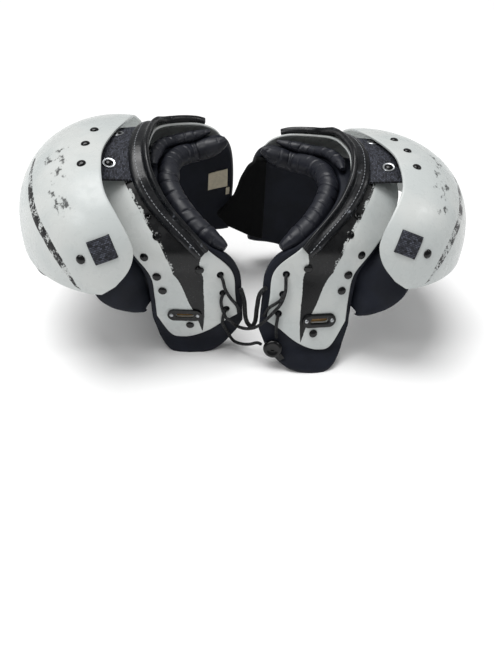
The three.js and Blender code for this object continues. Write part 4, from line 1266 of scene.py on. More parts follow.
class PadColours(bpy.types.PropertyGroup):
    """Colours of the pad's finishes."""

    shell: colour("Shell", "White plastic of the plates and caps", "#CDD0CE")
    shell_shade: colour("Shell shade", "Cloudy patches of the white plastic", "#C3C8C7")
    ink: colour("Ink", "Black print on the white plastic", "#0A0B0D")
    vinyl: colour("Rail vinyl", "Vinyl of the neck rails", "#0B0D11")
    roll: colour("Roll vinyl", "Vinyl of the rolls round the neck", "#1E2028")
    scuff: colour("Scuffs", "Rubbed places on the vinyl", "#8B9098")
    cloth: colour("Cloth", "Outer cloth of the foam", "#12151E")
    cloth_bloom: colour("Cloth bloom", "Worn patches of the outer cloth", "#1A1E29")
    # Black lining, deepened with painted shade for the inside of the neck.
    lining_and_painted_shade: colour("Lining", "Inner cloth of the foam", "#040506")
    webbing: colour("Webbing", "Threads of the webbing", "#11131A")
    webbing_pale: colour("Webbing crossings", "Paler threads of the webbing", "#50535F")
    lace: colour("Lace", "Strands of the laces", "#121315")
    fleck: colour("Lace flecks", "Paler strands of the laces", "#4C4E51")
    enamel: colour("Enamel", "Rivets, eyelets and belt plates", "#060709")
    steel: colour("Steel", "Washers and small bare rivets", "#B7BABD")
    thread: colour("Thread", "Stitches along the rails", "#A3A6AA")
    label: colour("Label", "Blank sewn labels", "#D2C9B2")
    leather: colour("Keeper", "Leather seen through the belt slots", "#C39A66")
    floor: colour("Floor", "Pale floor", "#FFFFFF")


class PadSizes(bpy.types.PropertyGroup):
    """Sizes of the dressed pad that don't change its frame. Its lengths are held in metres."""

    foam_rim: FloatProperty(
        name="Foam rim", description="Share of a foam leaf's width that rounds its edge",
        default=0.035, min=0.005, max=0.1, subtype="FACTOR",
    )
    shell_edge: FloatProperty(
        name="Shell edge", description="Rounding of the white plastic's edges",
        default=1.1 * MM, min=0.2 * MM, max=1.5 * MM, precision=5, unit="LENGTH",
    )
    crease_depth: FloatProperty(
        name="Crease depth", description="Depth of the rolls' creases",
        default=1.3 * MM, min=0, max=3 * MM, precision=5, unit="LENGTH",
    )
    stitch_pitch: FloatProperty(
        name="Stitch pitch", description="Distance between the rail's stitches",
        default=4.6 * MM, min=2 * MM, max=10 * MM, precision=5, unit="LENGTH",
    )
    dome_steps: IntProperty(
        name="Dome steps", description="Flats round a rivet's dome", default=24, min=8, max=48,
    )


# Camera fitted to the photo: turned round the pad, tilted down and rolled by these degrees.
CAMERA_TURN, CAMERA_TILT, CAMERA_ROLL = 6.86, 39.58, 3.49
CAMERA_DISTANCE = 710
CAMERA_ASIDE, CAMERA_UP = -10.4, 156.5
CAMERA_AIM = Vector((0, 0.6 + FRAME_SHIFT, 10))
CAMERA_HEIGHT = 130
FOCUS_PIXELS = 540
IMAGE_HEIGHT = 659
SENSOR = 36

# Lamps, their places in metres and their spread: an angle for the sun, a width for the others.
LIGHTS = table(
    "name kind at spread power",
    ("sky", "SUN", (-0.5, 0.35, 2.2), 0.7, 2.5),
    ("window", "AREA", (-1.1, -0.6, 1.3), 0.5, 5),
    ("strip", "AREA", (1.2, -0.3, 1.3), 0.4, 4),
)
LIGHT_AIM = Vector((0, 0, 0.12))
WORLD_LIGHT = 0.27
FLOOR_HALF_WIDTH = 12


class PAD_OT_stage(bpy.types.Operator):
    """Makes the camera, the pale floor and the soft studio light"""

    bl_idname = "pad.stage"
    bl_label = "Stage"

    def execute(self, context):
        scene = context.scene
        tilt, roll = math.radians(CAMERA_TILT), math.radians(CAMERA_ROLL)
        ahead = Vector((0, math.cos(tilt), -math.sin(tilt)))
        up = Vector((0, math.sin(tilt), math.cos(tilt)))
        right = Vector((1, 0, 0))
        turn_back = Matrix.Rotation(-math.radians(CAMERA_TURN), 3, "Z")
        eye = right * -CAMERA_ASIDE - up * CAMERA_UP - ahead * CAMERA_DISTANCE
        eye = turn_back @ (eye + Vector((0, 0, CAMERA_HEIGHT))) + CAMERA_AIM
        x = turn_back @ (right * math.cos(roll) + up * math.sin(roll))
        y = turn_back @ (up * math.cos(roll) - right * math.sin(roll))
        z = turn_back @ -ahead
        data = bpy.data.cameras.new("photo_camera")
        data.lens = FOCUS_PIXELS * SENSOR / IMAGE_HEIGHT
        data.sensor_width = SENSOR
        data.clip_start, data.clip_end = 0.02, 50
        camera = bpy.data.objects.new("photo_camera", data)
        camera.matrix_world = Matrix((
            (x.x, y.x, z.x, eye.x * MM),
            (x.y, y.y, z.y, eye.y * MM),
            (x.z, y.z, z.z, eye.z * MM),
            (0, 0, 0, 1),
        ))
        scene.collection.objects.link(camera)
        scene.camera = camera

        bm = bmesh.new()
        bmesh.ops.create_grid(bm, x_segments=1, y_segments=1, size=FLOOR_HALF_WIDTH)
        floor = make_mesh("floor", bm)
        floor.data.materials.append(painted_board(scene.pad_colours))

        for light in rows_of(LIGHTS):
            lamp = bpy.data.lights.new(light["name"], light["kind"])
            if light["kind"] == "SUN":
                lamp.angle = light["spread"]
            else:
                lamp.size = light["spread"]
            lamp.energy = light["power"]
            source = bpy.data.objects.new(light["name"], lamp)
            source.location = light["at"]
            aim = LIGHT_AIM - Vector(light["at"])
            source.rotation_euler = aim.to_track_quat("-Z", "Y").to_euler()
            scene.collection.objects.link(source)
        world = bpy.data.worlds.new("studio")
        world.use_nodes = True
        world.node_tree.nodes["Background"].inputs[0].default_value = (1, 1, 1, 1)
        world.node_tree.nodes["Background"].inputs[1].default_value = WORLD_LIGHT
        scene.world = world
        scene.view_settings.view_transform = "Standard"
        return {"FINISHED"}


CORDS = table(
    "node stops diameter end",
    ("lace_cross", LACE_CROSS, LACE_DIAMETER, "object"),
    ("lace_lower", LACE_LOWER, LACE_DIAMETER, "object"),
    ("lace_tail", LACE_TAIL, LACE_DIAMETER, "fitting"),
    ("lace_upper_right", LACE_UPPER_RIGHT, LACE_DIAMETER, "object"),
    ("lace_middle_left", LACE_MIDDLE_LEFT, LACE_DIAMETER, "object"),
    ("throat_loop", THROAT_LOOP, LOOP_DIAMETER, "object"),
)
CORD_STEP = 0.9
CORD_SIDES = 14

# The round lock: its place on the pad, and its profile as shares of its radius and height.
LOCK_STOP = ("pad", 0.13, 0.21, 1.4, 1)
LOCK_PROFILE = (
    (0, 0), (0.9, 0), (0.97, 0.1), (1, 1 / 3), (0.97, 0.62), (0.88, 0.9),
    (0.78, 1), (0.55, 0.97), (0.5, 0.9), (0.22, 0.88), (0, 0.88),
)


def lock_seat():
    """Where the round lock lies on the left pad."""
    centre = stop_point(LOCK_STOP)
    beside = stop_point(("pad", 0.13, 0.26, 1.4, 1))
    above = stop_point(("pad", 0.23, 0.21, 1.4, 1))
    normal = (beside - centre).cross(above - centre).normalized()
    return seat(centre, normal)


class PAD_OT_laces(bpy.types.Operator):
    """Makes the laces, the elastic at the throat and the round lock"""

    bl_idname = "pad.laces"
    bl_label = "Laces"

    def execute(self, context):
        bm = bmesh.new()
        profile = [(out * LOCK_RADIUS, rise * LOCK_HEIGHT) for out, rise in LOCK_PROFILE]
        matrix = lock_seat()
        turned(bm, profile, 40, lambda co: to_frame(matrix @ co))
        lock = make_mesh("round_lock", bm)
        bm = bmesh.new()
        hole = bmesh.ops.create_cube(bm, size=1)
        for vert in hole["verts"]:
            place = vert.co * LOCK_HOLE
            place.z = LOCK_HEIGHT + vert.co.z * 5
            vert.co = to_frame(matrix @ place)
        cut_out(lock, [make_mesh("square_hole", bm)])
        bm = bmesh.new()
        bm.from_mesh(lock.data)
        tongue = bmesh.ops.create_cube(bm, size=1)
        turn = Matrix.Rotation(math.radians(LOCK_TONGUE_TURN), 4, "Z")
        middle = Vector((LOCK_RADIUS + LOCK_TONGUE_BEYOND, 0, 1.6))
        for vert in tongue["verts"]:
            place = middle + vert.co * Vector(LOCK_TONGUE)
            vert.co = to_frame(matrix @ (turn @ place))
        bm.to_mesh(lock.data)
        bm.free()
        finish_piece(lock, [finish_of("enamel")], ["lace_lock"])
        for row in rows_of(CORDS):
            points = curve_through([stop_point(stop) for stop in row["stops"]], 200)
            radius = row["diameter"] / 2
            bm = bmesh.new()
            steps = round(even(points, 1)[1] / CORD_STEP)
            centres, length = swept(
                bm, points, steps, CORD_SIDES,
                lambda i, j, _: (radius, radius), Vector((0.1, 1, 0.1)), math.pi * row["diameter"],
            )
            obj = make_mesh("braid_" + row["node"], bm)
            finish_piece(obj, [finish_of("braid")], [row["node"]])
            path = [to_frame(point) for point in centres]
        return {"FINISHED"}


def tool_hole(bm, matrix, side, radius, low, high, length=0):
    """A round or long hole's closed shape for cutting, from low to high over its seat."""
    steps = 36
    made = bmesh.ops.create_cone(
        bm, cap_ends=True, segments=steps, radius1=radius, radius2=radius, depth=high - low
    )
    half_turn = Matrix.Rotation(math.pi / steps, 4, "Z")
    half = max(0, length / 2 - radius)
    put = seated(matrix, side)
    for vert in made["verts"]:
        co = half_turn @ vert.co
        co.x += math.copysign(half, co.x) if half else 0
        co.z += (high + low) / 2
        vert.co = put(co)


def on_plate_seat(section, across, lift):
    """The seat of a small part on the plate."""
    normal = plate_normal(section, across)
    return seat(on_plate(section, across, 0) + normal * lift, normal)


# How far outside a stripe a point without ink is said to be, in millimetres.
NO_INK = -5
# Sections between which the stripe's arm edge starts to wear, from the chest up.
STRIPE_WEAR = (1.4, 2.6)
BELT_SECTION, BELT_ACROSS = 0.58, 0.645
EYELET_SECTION, EYELET_ACROSS = 4.02, 0.385


class PAD_OT_plates(bpy.types.Operator):
    """Makes the two white body plates with their holes and their black stripe"""

    bl_idname = "pad.plates"
    bl_label = "Body plates"

    def execute(self, context):
        edge = context.scene.pad_sizes.shell_edge / MM

        def stripe(u, v):
            section = place_at(u)
            near = between(STRIPE, "section", section, "near")
            far = between(STRIPE, "section", section, "far")
            width = body_section(section)[1].length
            inside = min(v - near, far - v) * width
            if section > STRIPE["section"][-1]:
                inside = NO_INK
            unworn = (1 - smooth(*STRIPE_WEAR, section)) * 9
            return inside / 100, -(max(far - v, 0) * width + unworn) / 100

        for name, side in SIDES:
            def place(i, j, s):
                draw = edge / body_section(place_at(i))[1].length
                along, across, deep = rounded(i, j, s, 0.002, draw)
                return to_frame(settle(on_plate(place_at(along), across, -deep * PLATE_WALL), side))

            bm = bmesh.new()
            laid(bm, 150, 46, 4, place)
            plate = make_mesh("shell_plate_" + name, bm)
            tools = bmesh.new()
            for hole in rows_of(LACE_HOLES):
                where = on_plate_seat(hole["section"], hole["across"], 0)
                tool_hole(tools, where, side, LACE_HOLE_RADIUS, -6, 3)
            where = on_plate_seat(EYELET_SECTION, EYELET_ACROSS, 0)
            tool_hole(tools, where, side, EYELET_RADIUS * 0.7, -6, 3)
            where = on_plate_seat(BELT_SECTION, BELT_ACROSS, 0)
            tool_hole(tools, where, side, BELT_SLOT_WIDTH / 2, -7.5, 6, BELT_SLOT_LENGTH)
            cut_out(plate, [make_mesh("holes", tools)])
            print_map(plate, stripe)
            finish_piece(plate, [finish_of("shell")], ["body_plate_" + name])
        return {"FINISHED"}


class PAD_OT_body_foam(bpy.types.Operator):
    """Makes the two foam pads, cut level at the table, with a keeper behind each belt slot"""

    bl_idname = "pad.body_foam"
    bl_label = "Body foam"

    def execute(self, context):
        soft_rim = context.scene.pad_sizes.foam_rim
        for name, side in SIDES:
            def place(i, j, s):
                along, share, deep = rounded(i, j, s, 0.01, soft_rim)
                soft = 0.7 * ripple(i * 18, j * 5, 3 + side) * smooth(0, 0.12, s)
                depth = PAD_THICKNESS * deep + soft
                return to_frame(settle(pad_point(place_at(along), share, depth), side))

            bm = bmesh.new()
            laid(bm, 150, 48, 6, place, (450, 160))
            bmesh.ops.bisect_plane(
                bm, geom=bm.verts[:] + bm.edges[:] + bm.faces[:],
                plane_co=(0, 0, 0), plane_no=(0, 0, 1), clear_inner=True,
            )
            bmesh.ops.holes_fill(bm, edges=[e for e in bm.edges if e.is_boundary], sides=0)
            under = -PLATE_WALL - KEEPER_DEPTH
            put = seated(on_plate_seat(BELT_SECTION, BELT_ACROSS, under), side)
            known = set(bm.faces)
            made = bmesh.ops.create_cube(bm, size=1)
            for vert in made["verts"]:
                vert.co = put(vert.co * Vector(KEEPER_SIZE))
            for face in bm.faces:
                if face not in known:
                    face.material_index = 1
            pad = make_mesh("foam_" + name, bm)
            cloths = [finish_of("cloth"), finish_of("leather")]
            finish_piece(pad, cloths, ["body_pad_" + name], 60)
        return {"FINISHED"}


CREASE_SPACING, CREASE_WIDTH = 15, 1.3


def neck_curve(stations, depth, inset):
    """The curve of a roll along the pad's neck edge."""
    return curve_through([pad_neck_edge(place, depth, inset) for place in stations], 240)


def roll_swell(i, rings):
    """How full a roll is at a share of its length, drawn in over a ring or two at both ends."""
    return math.sqrt(min(1, (min(i, 1 - i) * (rings - 1) + 0.25) / 2))


class PAD_OT_rolls(bpy.types.Operator):
    """Makes the creased rolls and the thin bands round the neck"""

    bl_idname = "pad.rolls"
    bl_label = "Neck rolls"

    def execute(self, context):
        deep = context.scene.pad_sizes.crease_depth / MM
        up = Vector((0, 0, 1))
        rolls = (
            ("neck_roll", NECK_ROLL_STATIONS, PAD_THICKNESS / 2, NECK_ROLL_RADIUS + 1,
             NECK_ROLL_RADIUS + 1.2, NECK_ROLL_RADIUS + 1.2, 19, 40),
            ("collar_band", COLLAR_BAND_STATIONS, -BAND_HALF_HEIGHT - 2, -BAND_HALF_WIDTH * 0.6,
             BAND_HALF_WIDTH + 1.5, BAND_HALF_HEIGHT + 2, 10, 28),
        )
        for base, stations, depth, inset, half_width, half_height, rings, sides in rolls:
            points = neck_curve(stations, depth, inset)
            for name, side in SIDES:
                lying = [settle(point, side) for point in points]

                def radius(i, j, length):
                    swell = roll_swell(i, rings)
                    turn = math.cos(2 * math.pi * j), math.sin(2 * math.pi * j)
                    run = i * length / CREASE_SPACING + 0.18 * turn[0]
                    stitch_line = round(run)
                    lean = 0.3 * ripple(stitch_line * 1.7, turn[1], side)
                    away = (run - stitch_line - lean) * CREASE_SPACING / CREASE_WIDTH
                    strength = ripple(stitch_line * 2.3, turn[0], 5 + turn[1]) + 0.1
                    mark = math.exp(-away * away) * smooth(-0.25, 0.25, strength)
                    pucker = 0.07 * math.sin(22 * math.pi * j) * (1 - swell)
                    soft = 0.35 * ripple(i * length / 9, turn[0], side * 2.1)
                    less = deep * mark + 0.2 - soft
                    return (
                        half_width * swell * (1 + pucker) - less * swell,
                        half_height * swell * (1 + pucker) - less * swell,
                    )

                bm = bmesh.new()
                swept(bm, lying, 340, sides, radius, up, 75)
                roll = make_mesh(f"soft_{base}_{name}", bm)
                finish_piece(roll, [finish_of("roll")], [f"{base}_{name}"], 60)
        return {"FINISHED"}


# Line of the rail's stitches, as shares of its width and height, and the share of each pitch
# that its thread covers.
STITCH_ACROSS, STITCH_RISE = 0.63, 0.5
STITCH_SHARE = 0.62
STITCH_RADIUS = 0.32


class PAD_OT_rails(bpy.types.Operator):
    """Makes the two black rails with their stitches"""

    bl_idname = "pad.rails"
    bl_label = "Neck rails"

    def execute(self, context):
        pitch = context.scene.pad_sizes.stitch_pitch / MM
        loop = {key: values + values[:1] for key, values in RAIL_PROFILE.items()}
        for name, side in SIDES:
            def place(i, j):
                at = (j % 1) * len(RAIL_PROFILE["rise"])
                across, rise = through(loop["across"], at), through(loop["rise"], at)
                rise = max(rise, 0)
                if rise > 0.2:
                    rise += 0.025 * ripple(i * 30, across * 2, side * 4)
                section = mix(RAIL_FRONT, RAIL_BACK, i)
                return to_frame(settle(on_rail(section, across, rise), side))

            bm = bmesh.new()
            tube(bm, 170, 54, place, (330, 62))
            line = []
            for k in range(301):
                section = mix(RAIL_FRONT + 0.05, RAIL_BACK - 0.05, k / 300)
                line.append(settle(on_rail(section, STITCH_ACROSS, STITCH_RISE), side))
            count = int(even(line, 1)[1] / pitch)
            spots = even(line, count)[0]
            for a, b in zip(spots, spots[1:]):
                tip = a.lerp(b, STITCH_SHARE)
                stitch(bm, to_frame(a), to_frame(tip), STITCH_RADIUS * MM)
            rail = make_mesh("vinyl_rail_" + name, bm)
            vinyls = [finish_of("rail"), finish_of("thread")]
            finish_piece(rail, vinyls, ["neck_rail_" + name], 55)
        return {"FINISHED"}


def stitch(bm, start, end, radius):
    """One stitch: a short round thread between two points."""
    made = bmesh.ops.create_cone(
        bm, cap_ends=True, segments=6, radius1=radius, radius2=radius, depth=(end - start).length
    )
    turn = (end - start).to_track_quat("Z", "Y").to_matrix().to_4x4()
    shift = Matrix.Translation((start + end) / 2)
    bmesh.ops.transform(bm, verts=made["verts"], matrix=shift @ turn)
    for vert in made["verts"]:
        for face in vert.link_faces:
            face.material_index = 1


# The cap's worn stripe: its two edges as shares from rim to upper edge, at shares along it.
CAP_STRIPE = table(
    "along low high",
    (0.12, 0.055, 0.06),
    (0.16, 0.1, 0.135),
    (0.225, 0.245, 0.31),
    (0.275, 0.335, 0.41),
    (0.34, 0.425, 0.5),
    (0.4, 0.455, 0.52),
    (0.45, 0.485, 0.54),
    (0.54, 0.515, 0.53),
)
# About how far it is over the cap from its rim to its upper edge.
CAP_ARC = 190
# Where the smudges start, are full, grow less and end, along and across the cap.
SMUDGE_ALONG = (0.31, 0.36, 0.5, 0.58)
SMUDGE_ACROSS = (0.57, 0.66, 0.77, 0.85)


class PAD_OT_caps(bpy.types.Operator):
    """Makes the two white caps with their strap slots and their rubbed black marks"""

    bl_idname = "pad.caps"
    bl_label = "Shoulder caps"

    def execute(self, context):
        def marks(u, v):
            low = between(CAP_STRIPE, "along", u, "low")
            high = between(CAP_STRIPE, "along", u, "high")
            inside = min(v - low, high - v) * CAP_ARC
            if not CAP_STRIPE["along"][0] < u < CAP_STRIPE["along"][-1]:
                inside = NO_INK
            start, full, less, end = SMUDGE_ALONG
            patch = smooth(start, full, u) * (1 - smooth(less, end, u))
            start, full, less, end = SMUDGE_ACROSS
            patch *= smooth(start, full, v) * (1 - smooth(less, end, v))
            return inside / 100, patch

        for name, side in SIDES:
            def place(i, j, s):
                along, across, deep = rounded(i, j, s, 0.003, 0.006)
                return to_frame(settle(cap_grid_point(along, across, -deep * CAP_WALL), side))

            bm = bmesh.new()
            laid(bm, 130, 70, 4, place)
            cap = make_mesh("shell_cap_" + name, bm)
            tools = bmesh.new()
            half_patch = STRAP_PATCH_LENGTH / 2
            for end in (-1, 1):
                outer = end * (half_patch + SLOT_CLEARANCE)
                inner = end * (half_patch - WEBBING_THICKNESS - SLOT_CLEARANCE)
                half = WEBBING_WIDTH / 2 + SLOT_CLEARANCE
                made = bmesh.ops.create_cube(tools, size=1)
                for vert in made["verts"]:
                    along = mix(inner, outer, vert.co.x + 0.5)
                    lift = mix(-CAP_WALL * 2, CAP_WALL, vert.co.z + 0.5)
                    vert.co = to_frame(settle(on_strap(along, vert.co.y * 2 * half, lift), side))
            cut_out(cap, [make_mesh("slots", tools)])
            print_map(cap, marks)
            finish_piece(cap, [finish_of("shell")], ["shoulder_cap_" + name])
        return {"FINISHED"}


class PAD_OT_cap_straps(bpy.types.Operator):
    """Makes the webbing patches that go in and out of the caps"""

    bl_idname = "pad.cap_straps"
    bl_label = "Cap straps"

    def execute(self, context):
        half = STRAP_PATCH_LENGTH / 2
        top = GAP + WEBBING_THICKNESS
        bend = STRAP_BEND
        leg = STRAP_LEG_LENGTH + top - bend
        arc = bend * math.pi / 2
        flat = 2 * (half - bend)
        whole = 2 * leg + 2 * arc + flat

        def line(run):
            """Place along the cap, lift over it and the way out of the strap's outer face."""
            back = run > whole / 2
            at = whole - run if back else run
            if at < leg:
                along, lift, out = -half, -STRAP_LEG_LENGTH + at, (-1, 0)
            elif at < leg + arc:
                turn = (at - leg) / bend
                along = -half + bend - bend * math.cos(turn)
                lift = top - bend + bend * math.sin(turn)
                out = (-math.cos(turn), math.sin(turn))
            else:
                along, lift, out = -half + bend + at - leg - arc, top, (0, 1)
            return (-along, lift, (-out[0], out[1])) if back else (along, lift, out)

        for name, side in SIDES:
            def place(i, j, s):
                along, lift, out = line(i * whole)
                depth = WEBBING_THICKNESS * s
                shift = (j - 0.5) * WEBBING_WIDTH
                return to_frame(settle(
                    on_strap(along - out[0] * depth, shift, lift - out[1] * depth), side
                ))

            bm = bmesh.new()
            laid(bm, 60, 26, 2, place, (whole, WEBBING_WIDTH))
            strap = make_mesh("webbing_patch_" + name, bm)
            finish_piece(strap, [finish_of("webbing")], ["cap_strap_" + name], 50)
        return {"FINISHED"}


class PAD_OT_webs(bpy.types.Operator):
    """Makes the wide webbing between the rails and the caps"""

    bl_idname = "pad.webs"
    bl_label = "Shoulder webs"

    def execute(self, context):
        for name, side in SIDES:
            def place(i, j, s):
                lift = WEB_THICKNESS * (1 - s)
                return to_frame(settle(web_point(i, j, lift), side))

            bm = bmesh.new()
            laid(bm, 56, 44, 2, place, (115, 85))
            web = make_mesh("webbing_" + name, bm)
            finish_piece(web, [finish_of("webbing")], ["shoulder_web_" + name], 50)
        return {"FINISHED"}


# A flap starts this share of its width before its root, pressed against the body foam.
FLAP_TUCK = -0.07


class PAD_OT_flaps(bpy.types.Operator):
    """Makes the foam flaps under the caps, the caps' foam and the leaf over the back"""

    bl_idname = "pad.flaps"
    bl_label = "Foam flaps"

    def execute(self, context):
        soft_rim = context.scene.pad_sizes.foam_rim

        def cap_depth(i):
            return CAP_PAD_THICKNESS * math.sin(math.pi * mix(0.12, 0.88, i))

        def flap(i, j, depth):
            return side_pad_point(i, mix(FLAP_TUCK, 1, j), depth * SIDE_PAD_THICKNESS)

        def cap_foam(i, j, depth):
            return cap_pad_point(i, j, -CAP_WALL - FACET_ROOM - depth * cap_depth(i))

        def leaf(i, j, depth):
            return overlap_point(i, j, depth * OVERLAP_THICKNESS)

        pieces = (
            ("flap", "side_pad", flap, 1), ("cap_foam", "cap_pad", cap_foam, 1),
            ("back_leaf", "back_overlap", leaf, 0),
        )
        for base, solid, point, paired in pieces:
            for name, side in SIDES if paired else (("", 0),):
                def place(i, j, s):
                    at = point(*rounded(i, j, s, 0.02, soft_rim))
                    return to_frame(settle(at, side) if side else at)

                bm = bmesh.new()
                laid(bm, 60, 36, 6, place, (120, 70))
                end = "_" + name if name else ""
                foam = make_mesh(base + end, bm)
                # The back leaf seen inside the neck gets the lining: black cloth with painted
                # shade.
                cloth = finish_of("cloth" if paired else "lining_and_painted_shade")
                finish_piece(foam, [cloth], [solid + end], 60)
        return {"FINISHED"}


class PAD_OT_labels(bpy.types.Operator):
    """Makes the two blank sewn labels"""

    bl_idname = "pad.labels"
    bl_label = "Blank labels"

    def execute(self, context):
        for row in rows_of(LABELS):
            def place(i, j, s):
                x = -mix(row["near"], row["far"], j) * SHELL_HALF_WIDTH
                section = mix(row["top"], row["low"], i)
                return to_frame(back_face(x, section, GAP * 2 + LABEL_THICKNESS * s))

            bm = bmesh.new()
            laid(bm, 16, 16, 1, place)
            label = make_mesh("blank_" + row["name"], bm)
            finish_piece(label, [finish_of("label")], [row["name"]])
        return {"FINISHED"}


def dome(radius, height, steps=7):
    """The profile of a domed head, flat below."""
    profile = [(0, 0), (radius, 0)]
    for k in range(1, steps + 1):
        turn = math.pi / 2 * k / steps
        profile.append((radius * math.cos(turn) if k < steps else 0, height * math.sin(turn)))
    return profile


def cap_seat(over):
    """The seat of a small part on the cap, from its place there at an offset."""
    point = over(GAP / 2)
    return seat(point, (point - over(GAP / 2 - 1)).normalized())


def web_seat(along, across):
    """The seat of a small part on the shoulder web."""
    step = 0.02
    over = web_point(along, across + step, 0) - web_point(along, across - step, 0)
    ahead = web_point(along + step, across, 0) - web_point(along - step, across, 0)
    return seat(web_point(along, across, WEB_THICKNESS + GAP), over.cross(ahead).normalized())


WASHER_THICKNESS, WASHER_DISH = 0.9, 0.7
# The eyelet's section: shares of its radius and heights in millimetres.
EYELET_PROFILE = (
    (0.45, 0), (1, 0), (1, 0.8), (0.85, 1.25), (0.65, 1.25), (0.45, 0.8), (0.45, 0),
)


class PAD_OT_rivets(bpy.types.Operator):
    """Makes the domed rivets, the washers on the webs and the eyelets"""

    bl_idname = "pad.rivets"
    bl_label = "Rivets"

    def execute(self, context):
        steps = context.scene.pad_sizes.dome_steps
        head = dome(RIVET_RADIUS, RIVET_HEIGHT)
        spots = []
        for row in rows_of(PLATE_RIVETS):
            matrix = on_plate_seat(row["section"], row["across"], row["lift"])
            spots.append(("plate_rivet_" + row["name"], matrix))
        for row in rows_of(CAP_WEB_RIVETS):
            over = functools.partial(on_cap_top, row["out"], row["along"])
            spots.append(("cap_rivet_" + row["name"], cap_seat(over)))
        spots.append(("cap_rivet_lobe", cap_seat(functools.partial(on_cap, *LOBE_RIVET))))
        for base, matrix in spots:
            for name, side in SIDES:
                bm = bmesh.new()
                turned(bm, head, steps, seated(matrix, side))
                rivet = make_mesh(f"dome_{base}_{name}", bm)
                finish_piece(rivet, [finish_of("enamel")], [f"{base}_{name}"])
        washer = [
            (0, 0), (WASHER_RADIUS, 0), (WASHER_RADIUS, 0.5),
            (WASHER_RADIUS * 0.94, WASHER_THICKNESS), (RIVET_RADIUS * 1.05, WASHER_THICKNESS),
            (RIVET_RADIUS * 0.98, WASHER_DISH),
        ]
        washer += [(r * 0.96, max(h, WASHER_DISH)) for r, h in head[2:]]
        metals = [finish_of("enamel"), finish_of("steel")]
        for row in rows_of(WEB_RIVETS):
            matrix = web_seat(row["along"], row["across"])
            for name, side in SIDES:
                bm = bmesh.new()
                turned(bm, washer, steps, seated(matrix, side))
                centre = to_frame(settle(matrix.translation, side))
                for face in bm.faces:
                    away = (face.calc_center_median() - centre).length
                    face.material_index = 0 if away < RIVET_RADIUS * MM else 1
                rivet = make_mesh(f"washer_{row['name']}_{name}", bm)
                finish_piece(rivet, metals, [f"web_rivet_{row['name']}_{name}"])
        ring = [(out * EYELET_RADIUS, rise) for out, rise in EYELET_PROFILE]
        matrix = on_plate_seat(EYELET_SECTION, EYELET_ACROSS, GAP * 2)
        for name, side in SIDES:
            bm = bmesh.new()
            turned(bm, ring, steps, seated(matrix, side))
            bmesh.ops.remove_doubles(bm, verts=bm.verts, dist=1e-7)
            eyelet = make_mesh("ring_" + name, bm)
            finish_piece(eyelet, [finish_of("enamel")], ["plate_eyelet_" + name])
        return {"FINISHED"}


def long_loop(bm, length, width, steps):
    """The edges of a long loop with round ends."""
    made = bmesh.ops.create_circle(bm, segments=steps, radius=width / 2)
    turn = Matrix.Rotation(math.pi / steps, 4, "Z")
    for vert in made["verts"]:
        vert.co = turn @ vert.co
        vert.co.x += math.copysign(length / 2 - width / 2, vert.co.x)
    return list({edge for vert in made["verts"] for edge in vert.link_edges})


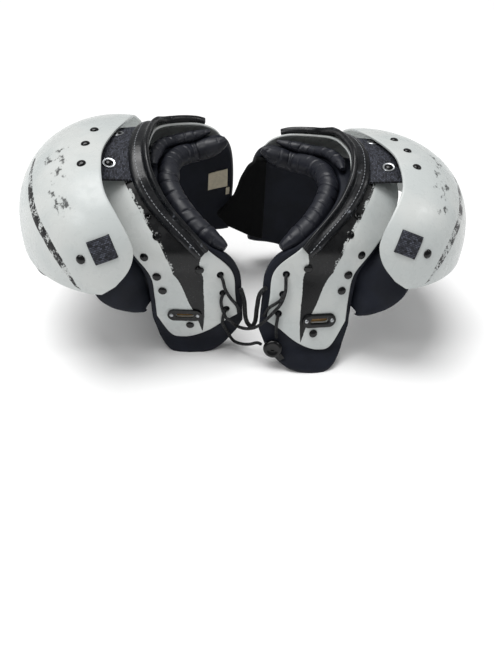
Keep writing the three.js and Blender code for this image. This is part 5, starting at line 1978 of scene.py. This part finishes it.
class PAD_OT_belt_plates(bpy.types.Operator):
    """Makes the two slotted belt plates with their small bright rivets"""

    bl_idname = "pad.belt_plates"
    bl_label = "Belt plates"

    def execute(self, context):
        matrix = on_plate_seat(BELT_SECTION, BELT_ACROSS, GAP)
        head = dome(BELT_RIVET_RADIUS, BELT_RIVET_HEIGHT, 5)
        metals = [finish_of("enamel"), finish_of("steel")]
        for name, side in SIDES:
            bm = bmesh.new()
            outer = long_loop(bm, BELT_LENGTH, BELT_WIDTH, 40)
            inner = long_loop(bm, BELT_SLOT_LENGTH, BELT_SLOT_WIDTH, 40)
            ring = bmesh.ops.bridge_loops(bm, edges=outer + inner)["faces"]
            grown = bmesh.ops.extrude_face_region(bm, geom=ring)["geom"]
            for item in grown:
                if isinstance(item, bmesh.types.BMVert):
                    item.co.z = BELT_THICKNESS
            rims = [
                edge for edge in bm.edges
                if all(vert.co.z > BELT_THICKNESS / 2 for vert in edge.verts)
                and abs(edge.link_faces[0].normal.z - edge.link_faces[1].normal.z) > 0.5
            ]
            bm.normal_update()
            bmesh.ops.bevel(
                bm, geom=rims, offset=0.5, segments=2, profile=0.5, affect="EDGES", material=-1
            )
            put = seated(matrix, side)
            for vert in bm.verts:
                vert.co = put(vert.co)
            for end in (-1, 1):
                shift = Matrix.Translation((end * (BELT_LENGTH + BELT_SLOT_LENGTH) / 4, 0, 0.8))
                for face in turned(bm, head, 16, seated(matrix @ shift, side)):
                    face.material_index = 1
            plate = make_mesh("slotted_plate_" + name, bm)
            finish_piece(plate, metals, ["belt_plate_" + name])
        return {"FINISHED"}


OPERATORS = (
    PAD_OT_stage,
    PAD_OT_laces,
    PAD_OT_plates,
    PAD_OT_body_foam,
    PAD_OT_rolls,
    PAD_OT_rails,
    PAD_OT_caps,
    PAD_OT_cap_straps,
    PAD_OT_webs,
    PAD_OT_flaps,
    PAD_OT_labels,
    PAD_OT_rivets,
    PAD_OT_belt_plates,
)


class PAD_PT_sidebar(bpy.types.Panel):
    """Lists the pad's makers, sizes and colours"""

    bl_idname = "PAD_PT_sidebar"
    bl_label = "Shoulder Pad"
    bl_space_type = "VIEW_3D"
    bl_region_type = "UI"
    bl_category = "Shoulder Pad"

    def draw(self, context):
        column = self.layout.column()
        for operator in OPERATORS:
            column.operator(operator.bl_idname)
        for group in (context.scene.pad_sizes, context.scene.pad_colours):
            for name in group.bl_rna.properties.keys():
                if name not in ("rna_type", "name"):
                    column.prop(group, name)


CLASSES = (PadColours, PadSizes, *OPERATORS, PAD_PT_sidebar)


def register():
    """Registers the classes and hangs the settings on the scene."""
    for item in CLASSES:
        bpy.utils.register_class(item)
    bpy.types.Scene.pad_colours = PointerProperty(type=PadColours)
    bpy.types.Scene.pad_sizes = PointerProperty(type=PadSizes)


def unregister():
    """Takes the settings and the classes away again."""
    del bpy.types.Scene.pad_sizes
    del bpy.types.Scene.pad_colours
    for item in reversed(CLASSES):
        bpy.utils.unregister_class(item)


def main():
    """Builds the whole pad."""
    register()
    for operator in OPERATORS:
        group, name = operator.bl_idname.split(".")
        made = getattr(getattr(bpy.ops, group), name)()
        if made != {"FINISHED"}:
            raise RuntimeError(operator.bl_label + " was not made")


if __name__ == "__main__":
    main()
